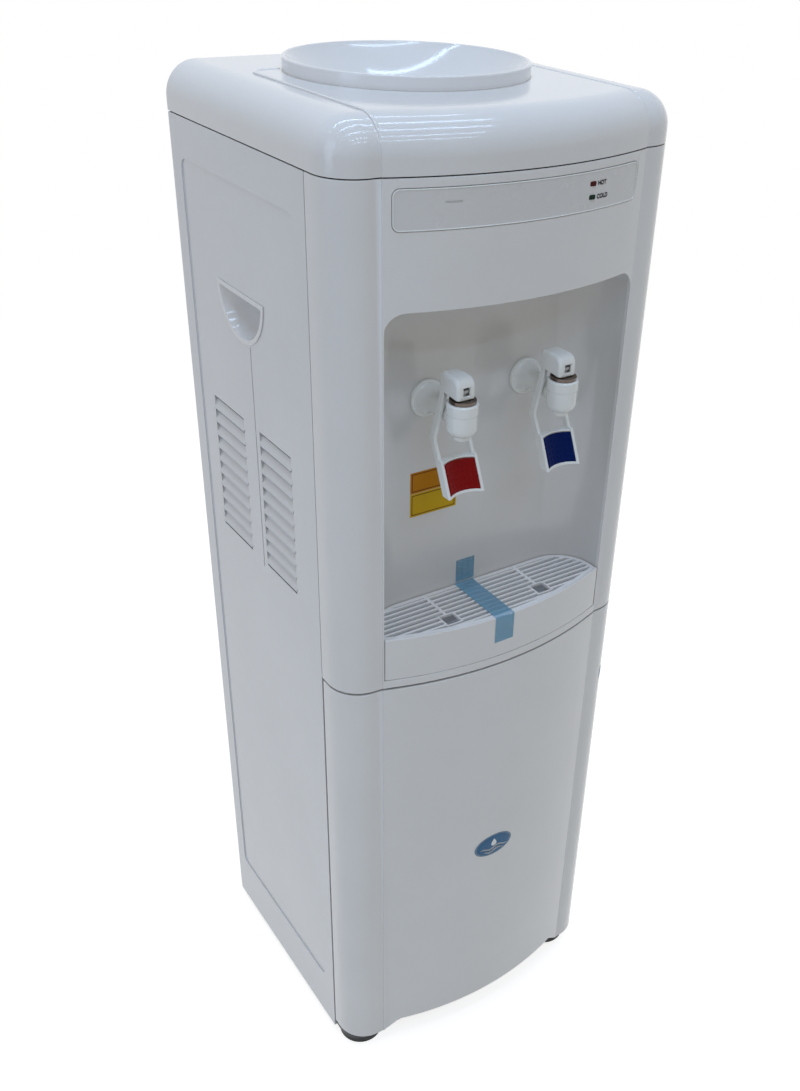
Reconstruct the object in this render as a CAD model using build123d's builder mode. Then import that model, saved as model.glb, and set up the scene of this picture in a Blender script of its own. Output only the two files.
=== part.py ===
from build123d import *
import math
import os

os.makedirs("parts", exist_ok=True)

# Floor-standing hot and cold water dispenser that takes an upturned bottle on top.
# X runs to the right as one faces the taps, Y runs to the back and Z runs up.
# The origin is on the floor, below the middle of the overall box.

# Overall size
width = 310.0
depth = 312.0
height = 964.0

# Front outline
bow_depth = 22.0
column_width = 37.0
corner_radius = 30.0
wrap_depth = 41.5
ridge_step = 0.8

# Walls
moulding_wall = 2.5
side_wall = 2.5
sheet_wall = 1.2
lug_length = 10.0

# Clearances
fit_gap = 0.3
seam_gap = 0.5
tray_gap = 0.8
running_gap = 0.06
overrun = 5.0

# Levels above the floor
ground_gap = 12.0
base_height = 10.0
door_bottom = 24.0
door_arch = 14.0
door_seam = 2.0
upper_height = 476.0
lip_height = 8.0
fascia_height = 42.5
alcove_drop = 143.0
strip_drop = 85.0
strip_height = 28.5
cover_drop = 49.5
collar_height = 11.0

# Tap alcove
alcove_margin = 1.0
alcove_depth = 45.0
alcove_corner = 38.0
alcove_top_radius = 16.0

# Indicator strip
strip_margin = 9.0
strip_shift = -2.5
strip_corner = 5.0
strip_thickness = 1.4
strip_gap = 0.3
lamp_radius = 2.0
lamp_collar_radius = 2.6
lamp_collar_length = 1.5
lamp_length = 11.0
lamp_inset = 66.0
hot_lamp_rise = 19.4
cold_lamp_rise = 9.7
lamp_gap = 0.2
board_thickness = 1.6
board_width = 46.0
board_height = 24.0
board_boss_radius = 3.0
board_boss_spacing = 36.0

# Top cover
cover_radius = 27.0
cover_wall = 2.5
cover_blend = 12.0
crown_rear = 204.0
crown_corner = 15.0

# Bottle collar
collar_radius = 98.75
collar_inset = 121.0
collar_lip = 3.2
collar_lip_round = 1.4
spigot_radius = 94.0
spigot_depth = 7.0
dish_top_drop = 2.6
dish_outer_radius = 93.5
dish_inner_radius = 33.0
dish_drop = 37.0
dish_curve = 150.0
dish_wall = 2.4
neck_radius = 29.0
neck_wall = 2.5
neck_top_drop = 41.0
neck_bottom_drop = 84.0

# Side panels
ledge_width = 6.0
ledge_height = 5.0
relief_depth = 1.2
relief_front = 61.0
relief_rear = 262.0
relief_bottom = 74.0
relief_drop = 82.0
relief_corner = 9.0
louvre_pitch = 12.95
louvre_count = 10
louvre_rise = 65.5
louvre_front_start = 85.0
louvre_front_length = 58.0
louvre_rear_start = 174.0
louvre_rear_length = 61.0
slat_reach = 1.1
slat_sink = 2.8
slat_wall = 1.3
slat_height = 7.9
slat_slot = 3.3
cheek_wall = 1.2
slat_root = 0.6
crease_back = 150.0
crease_width = 1.6
crease_depth = 0.6
crease_low_rise = 57.0
crease_high_rise = 266.0

# Handle cups
handle_back = 163.3
handle_drop = 169.2
handle_radius = 41.0
handle_depth = 30.0
handle_draft = 20.0
handle_wall = 1.4
handle_rim = 2.2
handle_scoop = 7.0
handle_rim_depth = 1.1

# Rear panel
vent_count = 9
vent_pitch = 9.0
vent_height = 4.5
vent_width = 84.0
lug_width = 16.0
lug_height = 12.0
lug_inset = 12.0
lug_drop = 61.0
lug_low_level = 66.0

# Base and feet
toe_setback = 10.0
toe_corner = 22.0
base_floor = 3.0
base_wall = 3.0
foot_radius = 23.0
foot_inset = 28.0
foot_front = 34.0
foot_chamfer = 2.0

# Storage compartment
liner_flange_wall = 2.0
liner_wall = 2.0
liner_margin = 17.0
liner_floor = 40.0
liner_drop = 10.0
liner_back = 246.0
liner_corner = 8.0
door_gap = 2.2
frame_setback = 1.5

# Door
door_wall = 2.5
liner_depth = 9.4
liner_sheet = 2.2
hinge_inset = 7.0
hinge_back = 33.8
hinge_radius = 2.5
hinge_engage = 11.0
boss_side = 9.0
boss_height = 14.0
gasket_width = 8.0
gasket_inset = 4.5
gasket_wall = 3.3
arch_run = 16.0

# Drip tray and grille
tray_wall = 2.2
tray_floor = 2.2
tray_rim_drop = 4.0
grille_thickness = 3.0
grille_frame = 4.0
grille_pitch = 6.2
grille_bar = 2.4
grille_rows = 9
cup_square = 17.0
cup_rib = 3.2
cup_back = 0.0
grille_gap = 0.4

# Cold tank
cold_radius = 58.0
cold_wall = 1.5
cold_bottom_drop = 194.0
cold_top_drop = 72.0
tank_mouth_radius = 32.5
seal_height = 4.0
seal_width = 3.4
foam_wall = 18.0
foam_floor = 16.0
conductor_side = 40.0
conductor_drop = 144.0
conductor_proud = 2.0
peltier_thickness = 4.0
sink_side = 92.0
sink_base = 5.0
sink_fin_height = 11.0
sink_fin_count = 14
sink_fin = 1.6
fan_depth = 17.0
fan_gap = 0.4
fan_bore_radius = 43.0
fan_hub_radius = 17.0
fan_hub_wall = 1.8
fan_shaft_radius = 2.5
fan_blade_count = 7
fan_blade_chord = 15.0
fan_blade_wall = 1.6
fan_blade_angle = 38.0
fan_blade_radius = 41.2
fan_plate = 2.4
fan_strut = 5.0
fan_corner = 4.0

# Hot tank
deck_rise = 13.0
deck_wall = 1.8
hot_radius = 45.0
hot_wall = 1.2
hot_tank_rise = 57.0
hot_height = 135.0
jacket_radius = 60.0
jacket_gap = 2.6
jacket_drop = 6.0
band_thickness = 2.2
band_rise = 37.0
band_height = 40.0
thermostat_radius = 9.0
thermostat_height = 7.0
thermostat_x = 20.0
thermostat_y = 12.0

# Water tubes
tube_radius = 5.0
tube_wall = 1.3
tube_bend = 14.0
feed_offset = 46.0
feed_rise = 13.0
drain_x = -30.0
drain_rise = 11.0
hot_outlet_x = -18.0
hot_outlet_y = -10.0
hot_rise = 30.0
hot_turn_y = -26.0
hot_bend = 9.0
cold_outlet_offset = 7.0
tube_gap = 0.4

# Power pieces
supply_inner_gap = 14.0
supply_outer_gap = 16.2
supply_length = 120.0
supply_height = 46.0
supply_wall = 1.5
supply_slot = 3.0
supply_slot_count = 9
supply_slot_pitch = 10.0
supply_slot_share = 0.55
switch_inset = 59.0
switch_rise = 112.0
switch_plate_width = 58.0
switch_plate_height = 40.0
switch_plate_wall = 2.0
switch_plate_corner = 4.0
switch_spacing = 26.0
switch_width = 13.0
switch_height = 21.0
switch_case = 14.0
switch_case_wall = 1.5
rocker_gap = 0.4
rocker_tilt = 7.0
rocker_reach = 3.0
rocker_root = 4.0
rocker_rise = 1.6
rocker_pin_radius = 1.5
rocker_pin_gap = 0.1
gland_rise = 60.0
gland_flange_radius = 10.0
gland_flange = 3.0
gland_radius = 7.0
gland_bore_radius = 4.2
gland_length = 12.0

# Drain
valve_flange_radius = 13.0
valve_flange = 2.0
valve_radius = 7.0
valve_reach = 7.0
valve_inner_length = 14.0
cap_wall = 1.6
cap_length = 6.9
cap_gap = 0.35

# Taps
tap_half_spacing = 49.5
tap_rise = 239.7
tap_forward = 6.4
tap_radius = 12.9
tap_top_rise = 15.0
tap_skirt_bottom_rise = 5.8
tap_skirt_step = 0.4
tap_taper_top_drop = 5.7
tap_taper_radius = 7.0
tap_taper_bottom_drop = 12.5
tap_bowl_radius = 7.5
nozzle_radius = 6.4
nozzle_bottom_drop = 16.0
nozzle_bore_radius = 3.6
tap_rim_chamfer = 1.0
pipe_radius = 8.0
flange_radius = 16.0
flange_edge = 2.0
flange_flare = 17.0
tail_length = 26.0
tap_hole_gap = 0.3
nut_radius = 13.0
nut_thickness = 7.0
ring_radius = 10.9
ring_height = 2.8
ring_bore_radius = 6.0
chamber_radius = 8.0
chamber_bottom_rise = 5.3
stem_radius = 2.6
stem_head_radius = 4.2
stem_head_height = 2.2
stem_top_rise = 25.8
stem_seat_radius = 6.4
stem_seat_height = 3.0
stem_gap = 0.4

# Levers
cap_half = 8.6
cap_front = 11.6
cap_rear = 14.2
cap_clear = 0.3
cap_top_rise = 35.5
cap_side_wall = 2.2
cap_roof = 3.6
cap_front_wall = 2.2
cap_bottom_rise = 2.0
cap_round = 3.0
cap_front_round = 8.0
cap_lip_round = 0.8
cap_hole = 6.2
cap_hole_height = 6.8
cap_hole_rise = 24.6
arm_wall = 3.0
arm_front = 7.6
arm_rear = 13.6
arm_top_rise = 24.3
arm_flare_top_rise = 15.3
knee_drop = 19.7
paddle_half = 17.4
paddle_top_drop = 34.7
paddle_centre_drop = 49.4
paddle_centre_front = 5.0
paddle_angle = 25.0
paddle_length = 33.0
paddle_back = 2.4
paddle_front = 6.2
paddle_shoulder = 3.4
knee_front_drop = 17.1
pad_half = 14.6
pad_top_rise = 13.3
pad_bottom_drop = 9.9
pad_thickness = 2.0
pad_curve = 30.0
pad_proud = 0.4
pad_edge_gap = 0.1
paddle_face_rise = 14.4
paddle_bottom_drop = 12.3

# Places worked out from the sizes above
half_width = width / 2
ridge_x = half_width - column_width
front_y = bow_depth - depth / 2
back_y = depth / 2 - lug_length
bow_rise = bow_depth - ridge_step
bow_radius = (ridge_x**2 + bow_rise**2) / (2 * bow_rise)
bow_centre_y = front_y - bow_depth + bow_radius
lip_bottom = height - upper_height
door_top = lip_bottom - door_seam
alcove_top = height - alcove_drop
strip_bottom = height - strip_drop
cover_bottom = height - cover_drop
cover_top = height - collar_height
dish_bottom = height - dish_drop
neck_top = height - neck_top_drop
neck_bottom = height - neck_bottom_drop
relief_top = height - relief_drop
handle_top = height - handle_drop
lug_top_level = height - lug_drop
cold_bottom = height - cold_bottom_drop
cold_top = height - cold_top_drop
conductor_level = height - conductor_drop
liner_top = door_top - liner_drop
louvre_bottom = lip_bottom + louvre_rise
crease_bottom = lip_bottom + crease_low_rise
crease_top = lip_bottom + crease_high_rise
deck_level = lip_bottom + deck_rise
hot_bottom = lip_bottom + hot_tank_rise
hot_top = hot_bottom + hot_height
jacket_top = hot_top - jacket_drop
band_bottom = hot_bottom + band_rise
feed_level = hot_bottom + feed_rise
drain_level = hot_bottom + drain_rise
switch_level = lip_bottom + switch_rise
gland_level = lip_bottom + gland_rise
tap_level = lip_bottom + tap_rise
tap_top = tap_level + tap_top_rise
tap_skirt_bottom = tap_level + tap_skirt_bottom_rise
chamber_bottom = tap_level + chamber_bottom_rise
stem_top = tap_level + stem_top_rise
cap_top = tap_level + cap_top_rise
cap_hole_level = tap_level + cap_hole_rise
arm_top = tap_level + arm_top_rise
arm_flare_top = tap_level + arm_flare_top_rise
tap_taper_top = tap_level - tap_taper_top_drop
tap_taper_bottom = tap_level - tap_taper_bottom_drop
nozzle_bottom = tap_level - nozzle_bottom_drop
knee_level = tap_level - knee_drop
knee_front_level = tap_level - knee_front_drop
paddle_top_level = tap_level - paddle_top_drop
paddle_centre_level = tap_level - paddle_centre_drop
lip_top = lip_bottom + lip_height
fascia_top = lip_top + fascia_height
alcove_back_y = front_y + alcove_depth
collar_y = back_y - collar_inset
base_top = ground_gap + base_height
panel_inner_x = half_width - side_wall
inside_x = panel_inner_x - fit_gap
rear_inner_y = back_y - sheet_wall
panel_front_y = front_y + wrap_depth + seam_gap
door_rear_y = panel_front_y - door_gap
hinge_x = hinge_inset - half_width
hinge_y = front_y + hinge_back
deck_top = deck_level + deck_wall
alcove_half = ridge_x - alcove_margin
strip_half = ridge_x - strip_margin
lamp_x = ridge_x - lamp_inset
liner_half = half_width - liner_margin
switch_x = half_width - switch_inset
gland_x = switch_x
supply_width = inside_x - supply_outer_gap - jacket_radius - supply_inner_gap
supply_x = jacket_radius + supply_inner_gap + supply_width / 2
feed_y = collar_y + feed_offset
cold_outlet_y = collar_y - cold_outlet_offset


def bow_y(x, inset):
    """Y of the bowed front at x, moved back by inset."""
    return bow_centre_y - math.sqrt((bow_radius - inset) ** 2 - x**2)


def front_outline(inset, rear_y):
    """Face inside the front moulding's outline, moved in by inset and closed at rear_y."""
    side_x = half_width - inset
    face_y = front_y + inset
    round_radius = corner_radius - inset
    step_x = ridge_x - inset
    step_y = bow_y(step_x, inset)
    nose_y = bow_centre_y - bow_radius + inset
    with BuildLine() as outline:
        Line((-side_x, rear_y), (-side_x, face_y + round_radius))
        RadiusArc((-side_x, face_y + round_radius), (round_radius - side_x, face_y), -round_radius)
        Line((round_radius - side_x, face_y), (-step_x, face_y))
        Line((-step_x, face_y), (-step_x, step_y))
        ThreePointArc((-step_x, step_y), (0, nose_y), (step_x, step_y))
        Line((step_x, step_y), (step_x, face_y))
        Line((step_x, face_y), (side_x - round_radius, face_y))
        RadiusArc((side_x - round_radius, face_y), (side_x, face_y + round_radius), -round_radius)
        Line((side_x, face_y + round_radius), (side_x, rear_y))
        Line((side_x, rear_y), (-side_x, rear_y))
    make_face(outline.edges())


def alcove_outline(grow, bow_inset):
    """Face of the alcove's plan, grown by grow at the sides and back, bowed at the front."""
    far_y = front_y - bow_depth - overrun
    rear_y = alcove_back_y + grow
    with Locations((0, (far_y + rear_y) / 2)):
        Rectangle(2 * (alcove_half + grow), rear_y - far_y)
    fillet(vertices().group_by(Axis.Y)[-1], alcove_corner + grow)
    with Locations((0, bow_centre_y)):
        Circle(bow_radius - bow_inset, mode=Mode.INTERSECT)


# Base plate with its toe under the door
with BuildPart() as base_plate:
    base_front_y = front_y + toe_setback
    base_rear_y = rear_inner_y - fit_gap
    with BuildSketch(Plane.XY.offset(ground_gap)):
        with Locations((0, (base_front_y + base_rear_y) / 2)):
            Rectangle(2 * inside_x, base_rear_y - base_front_y)
        fillet(vertices().group_by(Axis.Y)[0], toe_corner)
    extrude(amount=base_height)
    base_lid = base_plate.faces().sort_by(Axis.Z)[-1]
    with BuildSketch(Plane.XY.offset(ground_gap + base_floor)):
        add(base_lid.moved(Location((0, 0, -ground_gap - base_height))))
        offset(amount=-base_wall, mode=Mode.REPLACE)
    extrude(amount=base_height, mode=Mode.SUBTRACT)
    # post that takes the lower hinge pin
    with BuildSketch(Plane.XY.offset(ground_gap)):
        with Locations((hinge_x, hinge_y)):
            Circle(hinge_radius + base_wall)
        with Locations((0, (base_front_y + base_rear_y) / 2)):
            Rectangle(2 * inside_x, base_rear_y - base_front_y, mode=Mode.INTERSECT)
    extrude(amount=base_height)
    with BuildSketch(Plane.XY.offset(ground_gap + base_floor)):
        with Locations((hinge_x, hinge_y)):
            Circle(hinge_radius)
    extrude(amount=base_height, mode=Mode.SUBTRACT)

base_plate.part.label = "base_plate"
export_step(base_plate.part, "parts/base_plate.step")

# Four feet
with BuildPart() as feet:
    foot_x = half_width - foot_inset
    with BuildSketch(Plane.XY):
        with Locations(
            (-foot_x, front_y + foot_front),
            (foot_x, front_y + foot_front),
            (-foot_x, back_y - foot_inset),
            (foot_x, back_y - foot_inset),
        ):
            Circle(foot_radius)
    extrude(amount=ground_gap)
    chamfer(feet.edges().group_by(Axis.Z)[0], foot_chamfer)

feet.part.label = "feet"
export_step(feet.part, "parts/feet.step")

def handle_outline(grow):
    """Face of the half-round handle, grown by grow all round."""
    with Locations((front_y + handle_back, handle_top + handle_rim)):
        Circle(handle_radius + grow)
    with Locations((front_y + handle_back, handle_top + grow)):
        Rectangle(
            2 * (handle_radius + grow),
            handle_radius + handle_rim,
            align=(Align.CENTER, Align.MIN),
            mode=Mode.SUBTRACT,
        )


# Side panel with relief, louvres, ledge and returns
with BuildPart() as left_side_panel:
    with BuildSketch(Plane.XY.offset(ground_gap)):
        with BuildLine():
            Polyline(
                (-half_width, panel_front_y),
                (-half_width, back_y),
                (-panel_inner_x, back_y),
                (-panel_inner_x, panel_front_y),
                close=True,
            )
        make_face()
    extrude(amount=cover_bottom - ground_gap)
    # shallow relief on the outer face
    relief_middle_y = front_y + (relief_front + relief_rear) / 2
    relief_middle_z = (relief_bottom + relief_top) / 2
    with BuildSketch(Plane.YZ.offset(-half_width)):
        with Locations((relief_middle_y, relief_middle_z)):
            RectangleRounded(relief_rear - relief_front, relief_top - relief_bottom, relief_corner)
    extrude(amount=relief_depth, mode=Mode.SUBTRACT)
    # crease between the two columns of louvres
    with BuildSketch(Plane.YZ.offset(relief_depth - half_width)):
        with Locations((front_y + crease_back, (crease_bottom + crease_top) / 2)):
            Rectangle(crease_width, crease_top - crease_bottom)
    extrude(amount=crease_depth, mode=Mode.SUBTRACT)
    # louvre windows and the sloping slats in them
    window_low_z = louvre_bottom - slat_slot
    window_high_z = louvre_bottom + louvre_pitch * louvre_count - slat_reach
    louvre_front_y = front_y + louvre_front_start
    louvre_rear_y = front_y + louvre_rear_start
    with BuildSketch(Plane.YZ.offset(-half_width)):
        with Locations((louvre_front_y, window_low_z)):
            Rectangle(louvre_front_length, window_high_z - window_low_z, align=(Align.MIN, Align.MIN))
        with Locations((louvre_rear_y, window_low_z)):
            Rectangle(louvre_rear_length, window_high_z - window_low_z, align=(Align.MIN, Align.MIN))
    extrude(amount=side_wall, mode=Mode.SUBTRACT)
    lip_x = relief_depth - half_width - slat_reach
    root_x = relief_depth - half_width + slat_sink
    for start_y, length in ((louvre_front_y, louvre_front_length), (louvre_rear_y, louvre_rear_length)):
        for row in range(louvre_count):
            slat_z = louvre_bottom + louvre_pitch * row
            with BuildSketch(Plane.XZ.offset(slat_root - start_y)):
                with BuildLine():
                    Polyline(
                        (lip_x, slat_z),
                        (lip_x + slat_wall, slat_z),
                        (root_x + slat_wall, slat_z + slat_height),
                        (root_x, slat_z + slat_height),
                        close=True,
                    )
                make_face()
            extrude(amount=-length - 2 * slat_root)
        # cheeks that close the ends of the window behind the panel
        with BuildSketch(Plane.YZ.offset(-panel_inner_x)):
            with Locations((start_y, window_low_z)):
                Rectangle(cheek_wall, window_high_z - window_low_z, align=(Align.MAX, Align.MIN))
            with Locations((start_y + length, window_low_z)):
                Rectangle(cheek_wall, window_high_z - window_low_z, align=(Align.MIN, Align.MIN))
        extrude(amount=slat_sink + slat_wall + relief_depth - side_wall)
    # opening for the handle cup
    with BuildSketch(Plane.YZ.offset(-half_width)):
        handle_outline(0)
    extrude(amount=side_wall, mode=Mode.SUBTRACT)
    # returns that stiffen the front and rear edges
    with BuildSketch(Plane.XY.offset(lip_bottom)):
        with Locations((-panel_inner_x, panel_front_y)):
            Rectangle(ledge_width, side_wall, align=(Align.MIN, Align.MIN))
    extrude(amount=cover_bottom - lip_bottom)
    # ledge that carries the deck
    with BuildSketch(Plane.XZ.offset(-rear_inner_y + fit_gap)):
        with Locations((-panel_inner_x, deck_level)):
            Rectangle(ledge_width, ledge_height, align=(Align.MIN, Align.MAX))
    extrude(amount=rear_inner_y - fit_gap - alcove_back_y - 2 * moulding_wall)

left_side_panel.part.label = "left_side_panel"
export_step(left_side_panel.part, "parts/left_side_panel.step")

with BuildPart() as right_side_panel:
    mirror(left_side_panel.part, about=Plane.YZ)

right_side_panel.part.label = "right_side_panel"
export_step(right_side_panel.part, "parts/right_side_panel.step")


# Space inside the handle cup, scooped at the bottom
with BuildPart() as handle_space:
    with BuildSketch(Plane.YZ.offset(relief_depth - half_width - handle_rim_depth)):
        handle_outline(-fit_gap - handle_wall)
    extrude(amount=handle_depth + handle_rim_depth - handle_wall, taper=handle_draft)
    fillet(handle_space.faces().sort_by(Axis.X)[-1].edges(), handle_scoop)

# Handle cup with its rim
with BuildPart() as left_handle_cup:
    with BuildSketch(Plane.YZ.offset(relief_depth - half_width)):
        handle_outline(handle_rim)
    extrude(amount=-handle_rim_depth)
    with BuildSketch(Plane.YZ.offset(relief_depth - half_width)):
        handle_outline(-fit_gap)
    extrude(amount=handle_depth, taper=handle_draft)
    cup_bottom = left_handle_cup.faces().sort_by(Axis.X)[-1]
    fillet(cup_bottom.edges(), handle_scoop)
    add(handle_space.part, mode=Mode.SUBTRACT)

left_handle_cup.part.label = "left_handle_cup"
export_step(left_handle_cup.part, "parts/left_handle_cup.step")

with BuildPart() as right_handle_cup:
    mirror(left_handle_cup.part, about=Plane.YZ)

right_handle_cup.part.label = "right_handle_cup"
export_step(right_handle_cup.part, "parts/right_handle_cup.step")

# Rear panel with fan vents, service holes and wall spacers
rear_bottom = ground_gap + seam_gap
rear_top = cover_bottom - seam_gap
with BuildPart() as rear_panel:
    with BuildSketch(Plane.XZ.offset(-rear_inner_y)):
        with Locations((0, (rear_bottom + rear_top) / 2)):
            Rectangle(2 * inside_x, rear_top - rear_bottom)
        with Locations((0, conductor_level)):
            with GridLocations(vent_pitch, vent_pitch, 1, vent_count):
                SlotOverall(vent_width, vent_height, mode=Mode.SUBTRACT)
        with Locations((drain_x, drain_level)):
            Circle(valve_radius + fit_gap, mode=Mode.SUBTRACT)
        with Locations((gland_x, gland_level)):
            Circle(gland_radius + fit_gap, mode=Mode.SUBTRACT)
        with Locations((switch_x, switch_level)):
            Rectangle(
                switch_spacing + switch_width + 2 * switch_case_wall + 2 * fit_gap,
                switch_height + 2 * switch_case_wall + 2 * fit_gap,
                mode=Mode.SUBTRACT,
            )
    extrude(amount=-sheet_wall)
    lug_x = inside_x - lug_inset
    with BuildSketch(Plane.XZ.offset(-back_y)):
        with Locations(
            (-lug_x, lug_top_level),
            (lug_x, lug_top_level),
            (-lug_x, lug_low_level),
            (lug_x, lug_low_level),
        ):
            Rectangle(lug_width, lug_height)
    extrude(amount=-lug_length)

rear_panel.part.label = "rear_panel"
export_step(rear_panel.part, "parts/rear_panel.step")

# Deck that carries the hot tank and the power supply
with BuildPart() as deck_plate:
    deck_front_y = alcove_back_y + 2 * moulding_wall
    deck_rear_y = rear_inner_y - fit_gap
    with BuildSketch(Plane.XY.offset(deck_level)):
        with Locations((0, (deck_front_y + deck_rear_y) / 2)):
            Rectangle(2 * inside_x, deck_rear_y - deck_front_y)
    extrude(amount=deck_wall)

deck_plate.part.label = "deck_plate"
export_step(deck_plate.part, "parts/deck_plate.step")

# Front panel with the alcove's opening and the strip's pocket
strip_middle_z = strip_bottom + strip_height / 2
board_front_y = bow_y(lamp_x, 0) + lamp_length
board_z = strip_bottom + (hot_lamp_rise + cold_lamp_rise) / 2
boss_seat = (strip_thickness + moulding_wall) / 2
with BuildPart() as front_panel_form:
    with BuildSketch(Plane.XY.offset(lip_bottom)):
        front_outline(0, front_y + wrap_depth)
    extrude(amount=cover_bottom - lip_bottom)
    with BuildSketch(Plane.XY.offset(lip_bottom + moulding_wall)):
        front_outline(moulding_wall, front_y + wrap_depth + overrun)
    extrude(amount=cover_bottom - lip_bottom, mode=Mode.SUBTRACT)
    # bosses that carry the indicator board
    with BuildSketch(Plane.XZ.offset(-board_front_y)):
        with Locations((lamp_x - board_boss_spacing / 2, board_z)):
            Circle(board_boss_radius)
    extrude(amount=board_front_y - bow_y(lamp_x - board_boss_spacing / 2, boss_seat))
    with BuildSketch(Plane.XZ.offset(-board_front_y)):
        with Locations((lamp_x + board_boss_spacing / 2, board_z)):
            Circle(board_boss_radius)
    extrude(amount=board_front_y - bow_y(lamp_x + board_boss_spacing / 2, boss_seat))
    # opening of the alcove
    with BuildSketch(Plane.XZ.offset(-front_y - alcove_depth)):
        with Locations((0, (lip_top + alcove_top) / 2)):
            Rectangle(2 * alcove_half, alcove_top - lip_top)
        fillet(vertices().group_by(Axis.Y)[-1], alcove_top_radius)
    extrude(amount=alcove_depth + bow_depth + overrun, mode=Mode.SUBTRACT)
    # holes for the lamps
    with BuildSketch(Plane.XZ.offset(-board_front_y)):
        with Locations((lamp_x, strip_bottom + hot_lamp_rise), (lamp_x, strip_bottom + cold_lamp_rise)):
            Circle(lamp_collar_radius + lamp_gap)
    extrude(amount=lamp_length + overrun, mode=Mode.SUBTRACT)
    # hole for the upper hinge pin
    with BuildSketch(Plane.XY.offset(lip_bottom)):
        with Locations((hinge_x, hinge_y)):
            Circle(hinge_radius)
    extrude(amount=moulding_wall, mode=Mode.SUBTRACT)

# Space that the strip takes in the front panel
with BuildPart() as strip_pocket:
    with BuildSketch(Plane.XY.offset(strip_bottom - strip_gap)):
        with Locations((0, bow_centre_y)):
            Circle(bow_radius + overrun)
            Circle(bow_radius - strip_thickness, mode=Mode.SUBTRACT)
    extrude(amount=strip_height + 2 * strip_gap)
    with BuildSketch(Plane.XZ.offset(-front_y)):
        with Locations((strip_shift, strip_middle_z)):
            RectangleRounded(
                2 * (strip_half + strip_gap),
                strip_height + 2 * strip_gap,
                strip_corner + strip_gap,
            )
    extrude(amount=bow_depth + overrun, mode=Mode.INTERSECT)

with BuildPart() as front_panel:
    add(front_panel_form.part)
    add(strip_pocket.part, mode=Mode.SUBTRACT)

front_panel.part.label = "front_panel"
export_step(front_panel.part, "parts/front_panel.step")

# Bowed indicator strip
with BuildPart() as indicator_strip:
    with BuildSketch(Plane.XY.offset(strip_bottom)):
        with Locations((0, bow_centre_y)):
            Circle(bow_radius)
            Circle(bow_radius - strip_thickness, mode=Mode.SUBTRACT)
    extrude(amount=strip_height)
    with BuildSketch(Plane.XZ.offset(-front_y)):
        with Locations((strip_shift, strip_middle_z)):
            RectangleRounded(2 * strip_half, strip_height, strip_corner)
        with Locations((lamp_x, strip_bottom + hot_lamp_rise), (lamp_x, strip_bottom + cold_lamp_rise)):
            Circle(lamp_radius + lamp_gap, mode=Mode.SUBTRACT)
    extrude(amount=bow_depth + overrun, mode=Mode.INTERSECT)

indicator_strip.part.label = "indicator_strip"
export_step(indicator_strip.part, "parts/indicator_strip.step")

with BuildPart() as indicator_board:
    with BuildSketch(Plane.XZ.offset(-board_front_y)):
        with Locations((lamp_x, board_z)):
            Rectangle(board_width, board_height)
    extrude(amount=-board_thickness)

indicator_board.part.label = "indicator_board"
export_step(indicator_board.part, "parts/indicator_board.step")

with BuildPart() as hot_lamp:
    with BuildSketch(Plane.XZ.offset(-board_front_y)):
        with Locations((lamp_x, strip_bottom + hot_lamp_rise)):
            Circle(lamp_radius)
    extrude(amount=lamp_length)
    with BuildSketch(Plane.XZ.offset(-board_front_y)):
        with Locations((lamp_x, strip_bottom + hot_lamp_rise)):
            Circle(lamp_collar_radius)
    extrude(amount=lamp_collar_length)
    fillet(hot_lamp.edges().group_by(Axis.Y)[0], lamp_radius / 2)

hot_lamp.part.label = "hot_lamp"
export_step(hot_lamp.part, "parts/hot_lamp.step")

with BuildPart() as cold_lamp:
    with Locations((0, 0, cold_lamp_rise - hot_lamp_rise)):
        add(hot_lamp.part)

cold_lamp.part.label = "cold_lamp"
export_step(cold_lamp.part, "parts/cold_lamp.step")

# Alcove round the taps
with BuildPart() as alcove_space:
    with BuildSketch(Plane.XY.offset(lip_top)):
        alcove_outline(0, -overrun)
    extrude(amount=alcove_top - lip_top)
    alcove_roof = alcove_space.faces().sort_by(Axis.Z)[-1]
    fillet(alcove_roof.edges().sort_by(Axis.Y)[1:], alcove_top_radius)

with BuildPart() as tap_alcove:
    with BuildSketch(Plane.XY.offset(lip_top - moulding_wall)):
        alcove_outline(moulding_wall, moulding_wall)
        corner_gap_x = ridge_x - moulding_wall
        for side in (-1, 1):
            with Locations((side * corner_gap_x, front_y + moulding_wall)):
                Rectangle(
                    column_width,
                    bow_depth,
                    align=(Align.MIN if side > 0 else Align.MAX, Align.MAX),
                    mode=Mode.SUBTRACT,
                )
    extrude(amount=alcove_top - lip_top + 2 * moulding_wall)
    shell_roof = tap_alcove.faces().sort_by(Axis.Z)[-1]
    fillet(
        shell_roof.edges().filter_by(lambda e: e.center().Y > front_y + moulding_wall + seam_gap),
        alcove_top_radius + moulding_wall,
    )
    add(alcove_space.part, mode=Mode.SUBTRACT)
    with BuildSketch(Plane.XZ.offset(-alcove_back_y - 2 * moulding_wall)):
        with Locations((-tap_half_spacing, tap_level), (tap_half_spacing, tap_level)):
            Circle(pipe_radius + tap_hole_gap)
    extrude(amount=4 * moulding_wall, mode=Mode.SUBTRACT)

tap_alcove.part.label = "tap_alcove"
export_step(tap_alcove.part, "parts/tap_alcove.step")


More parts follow.
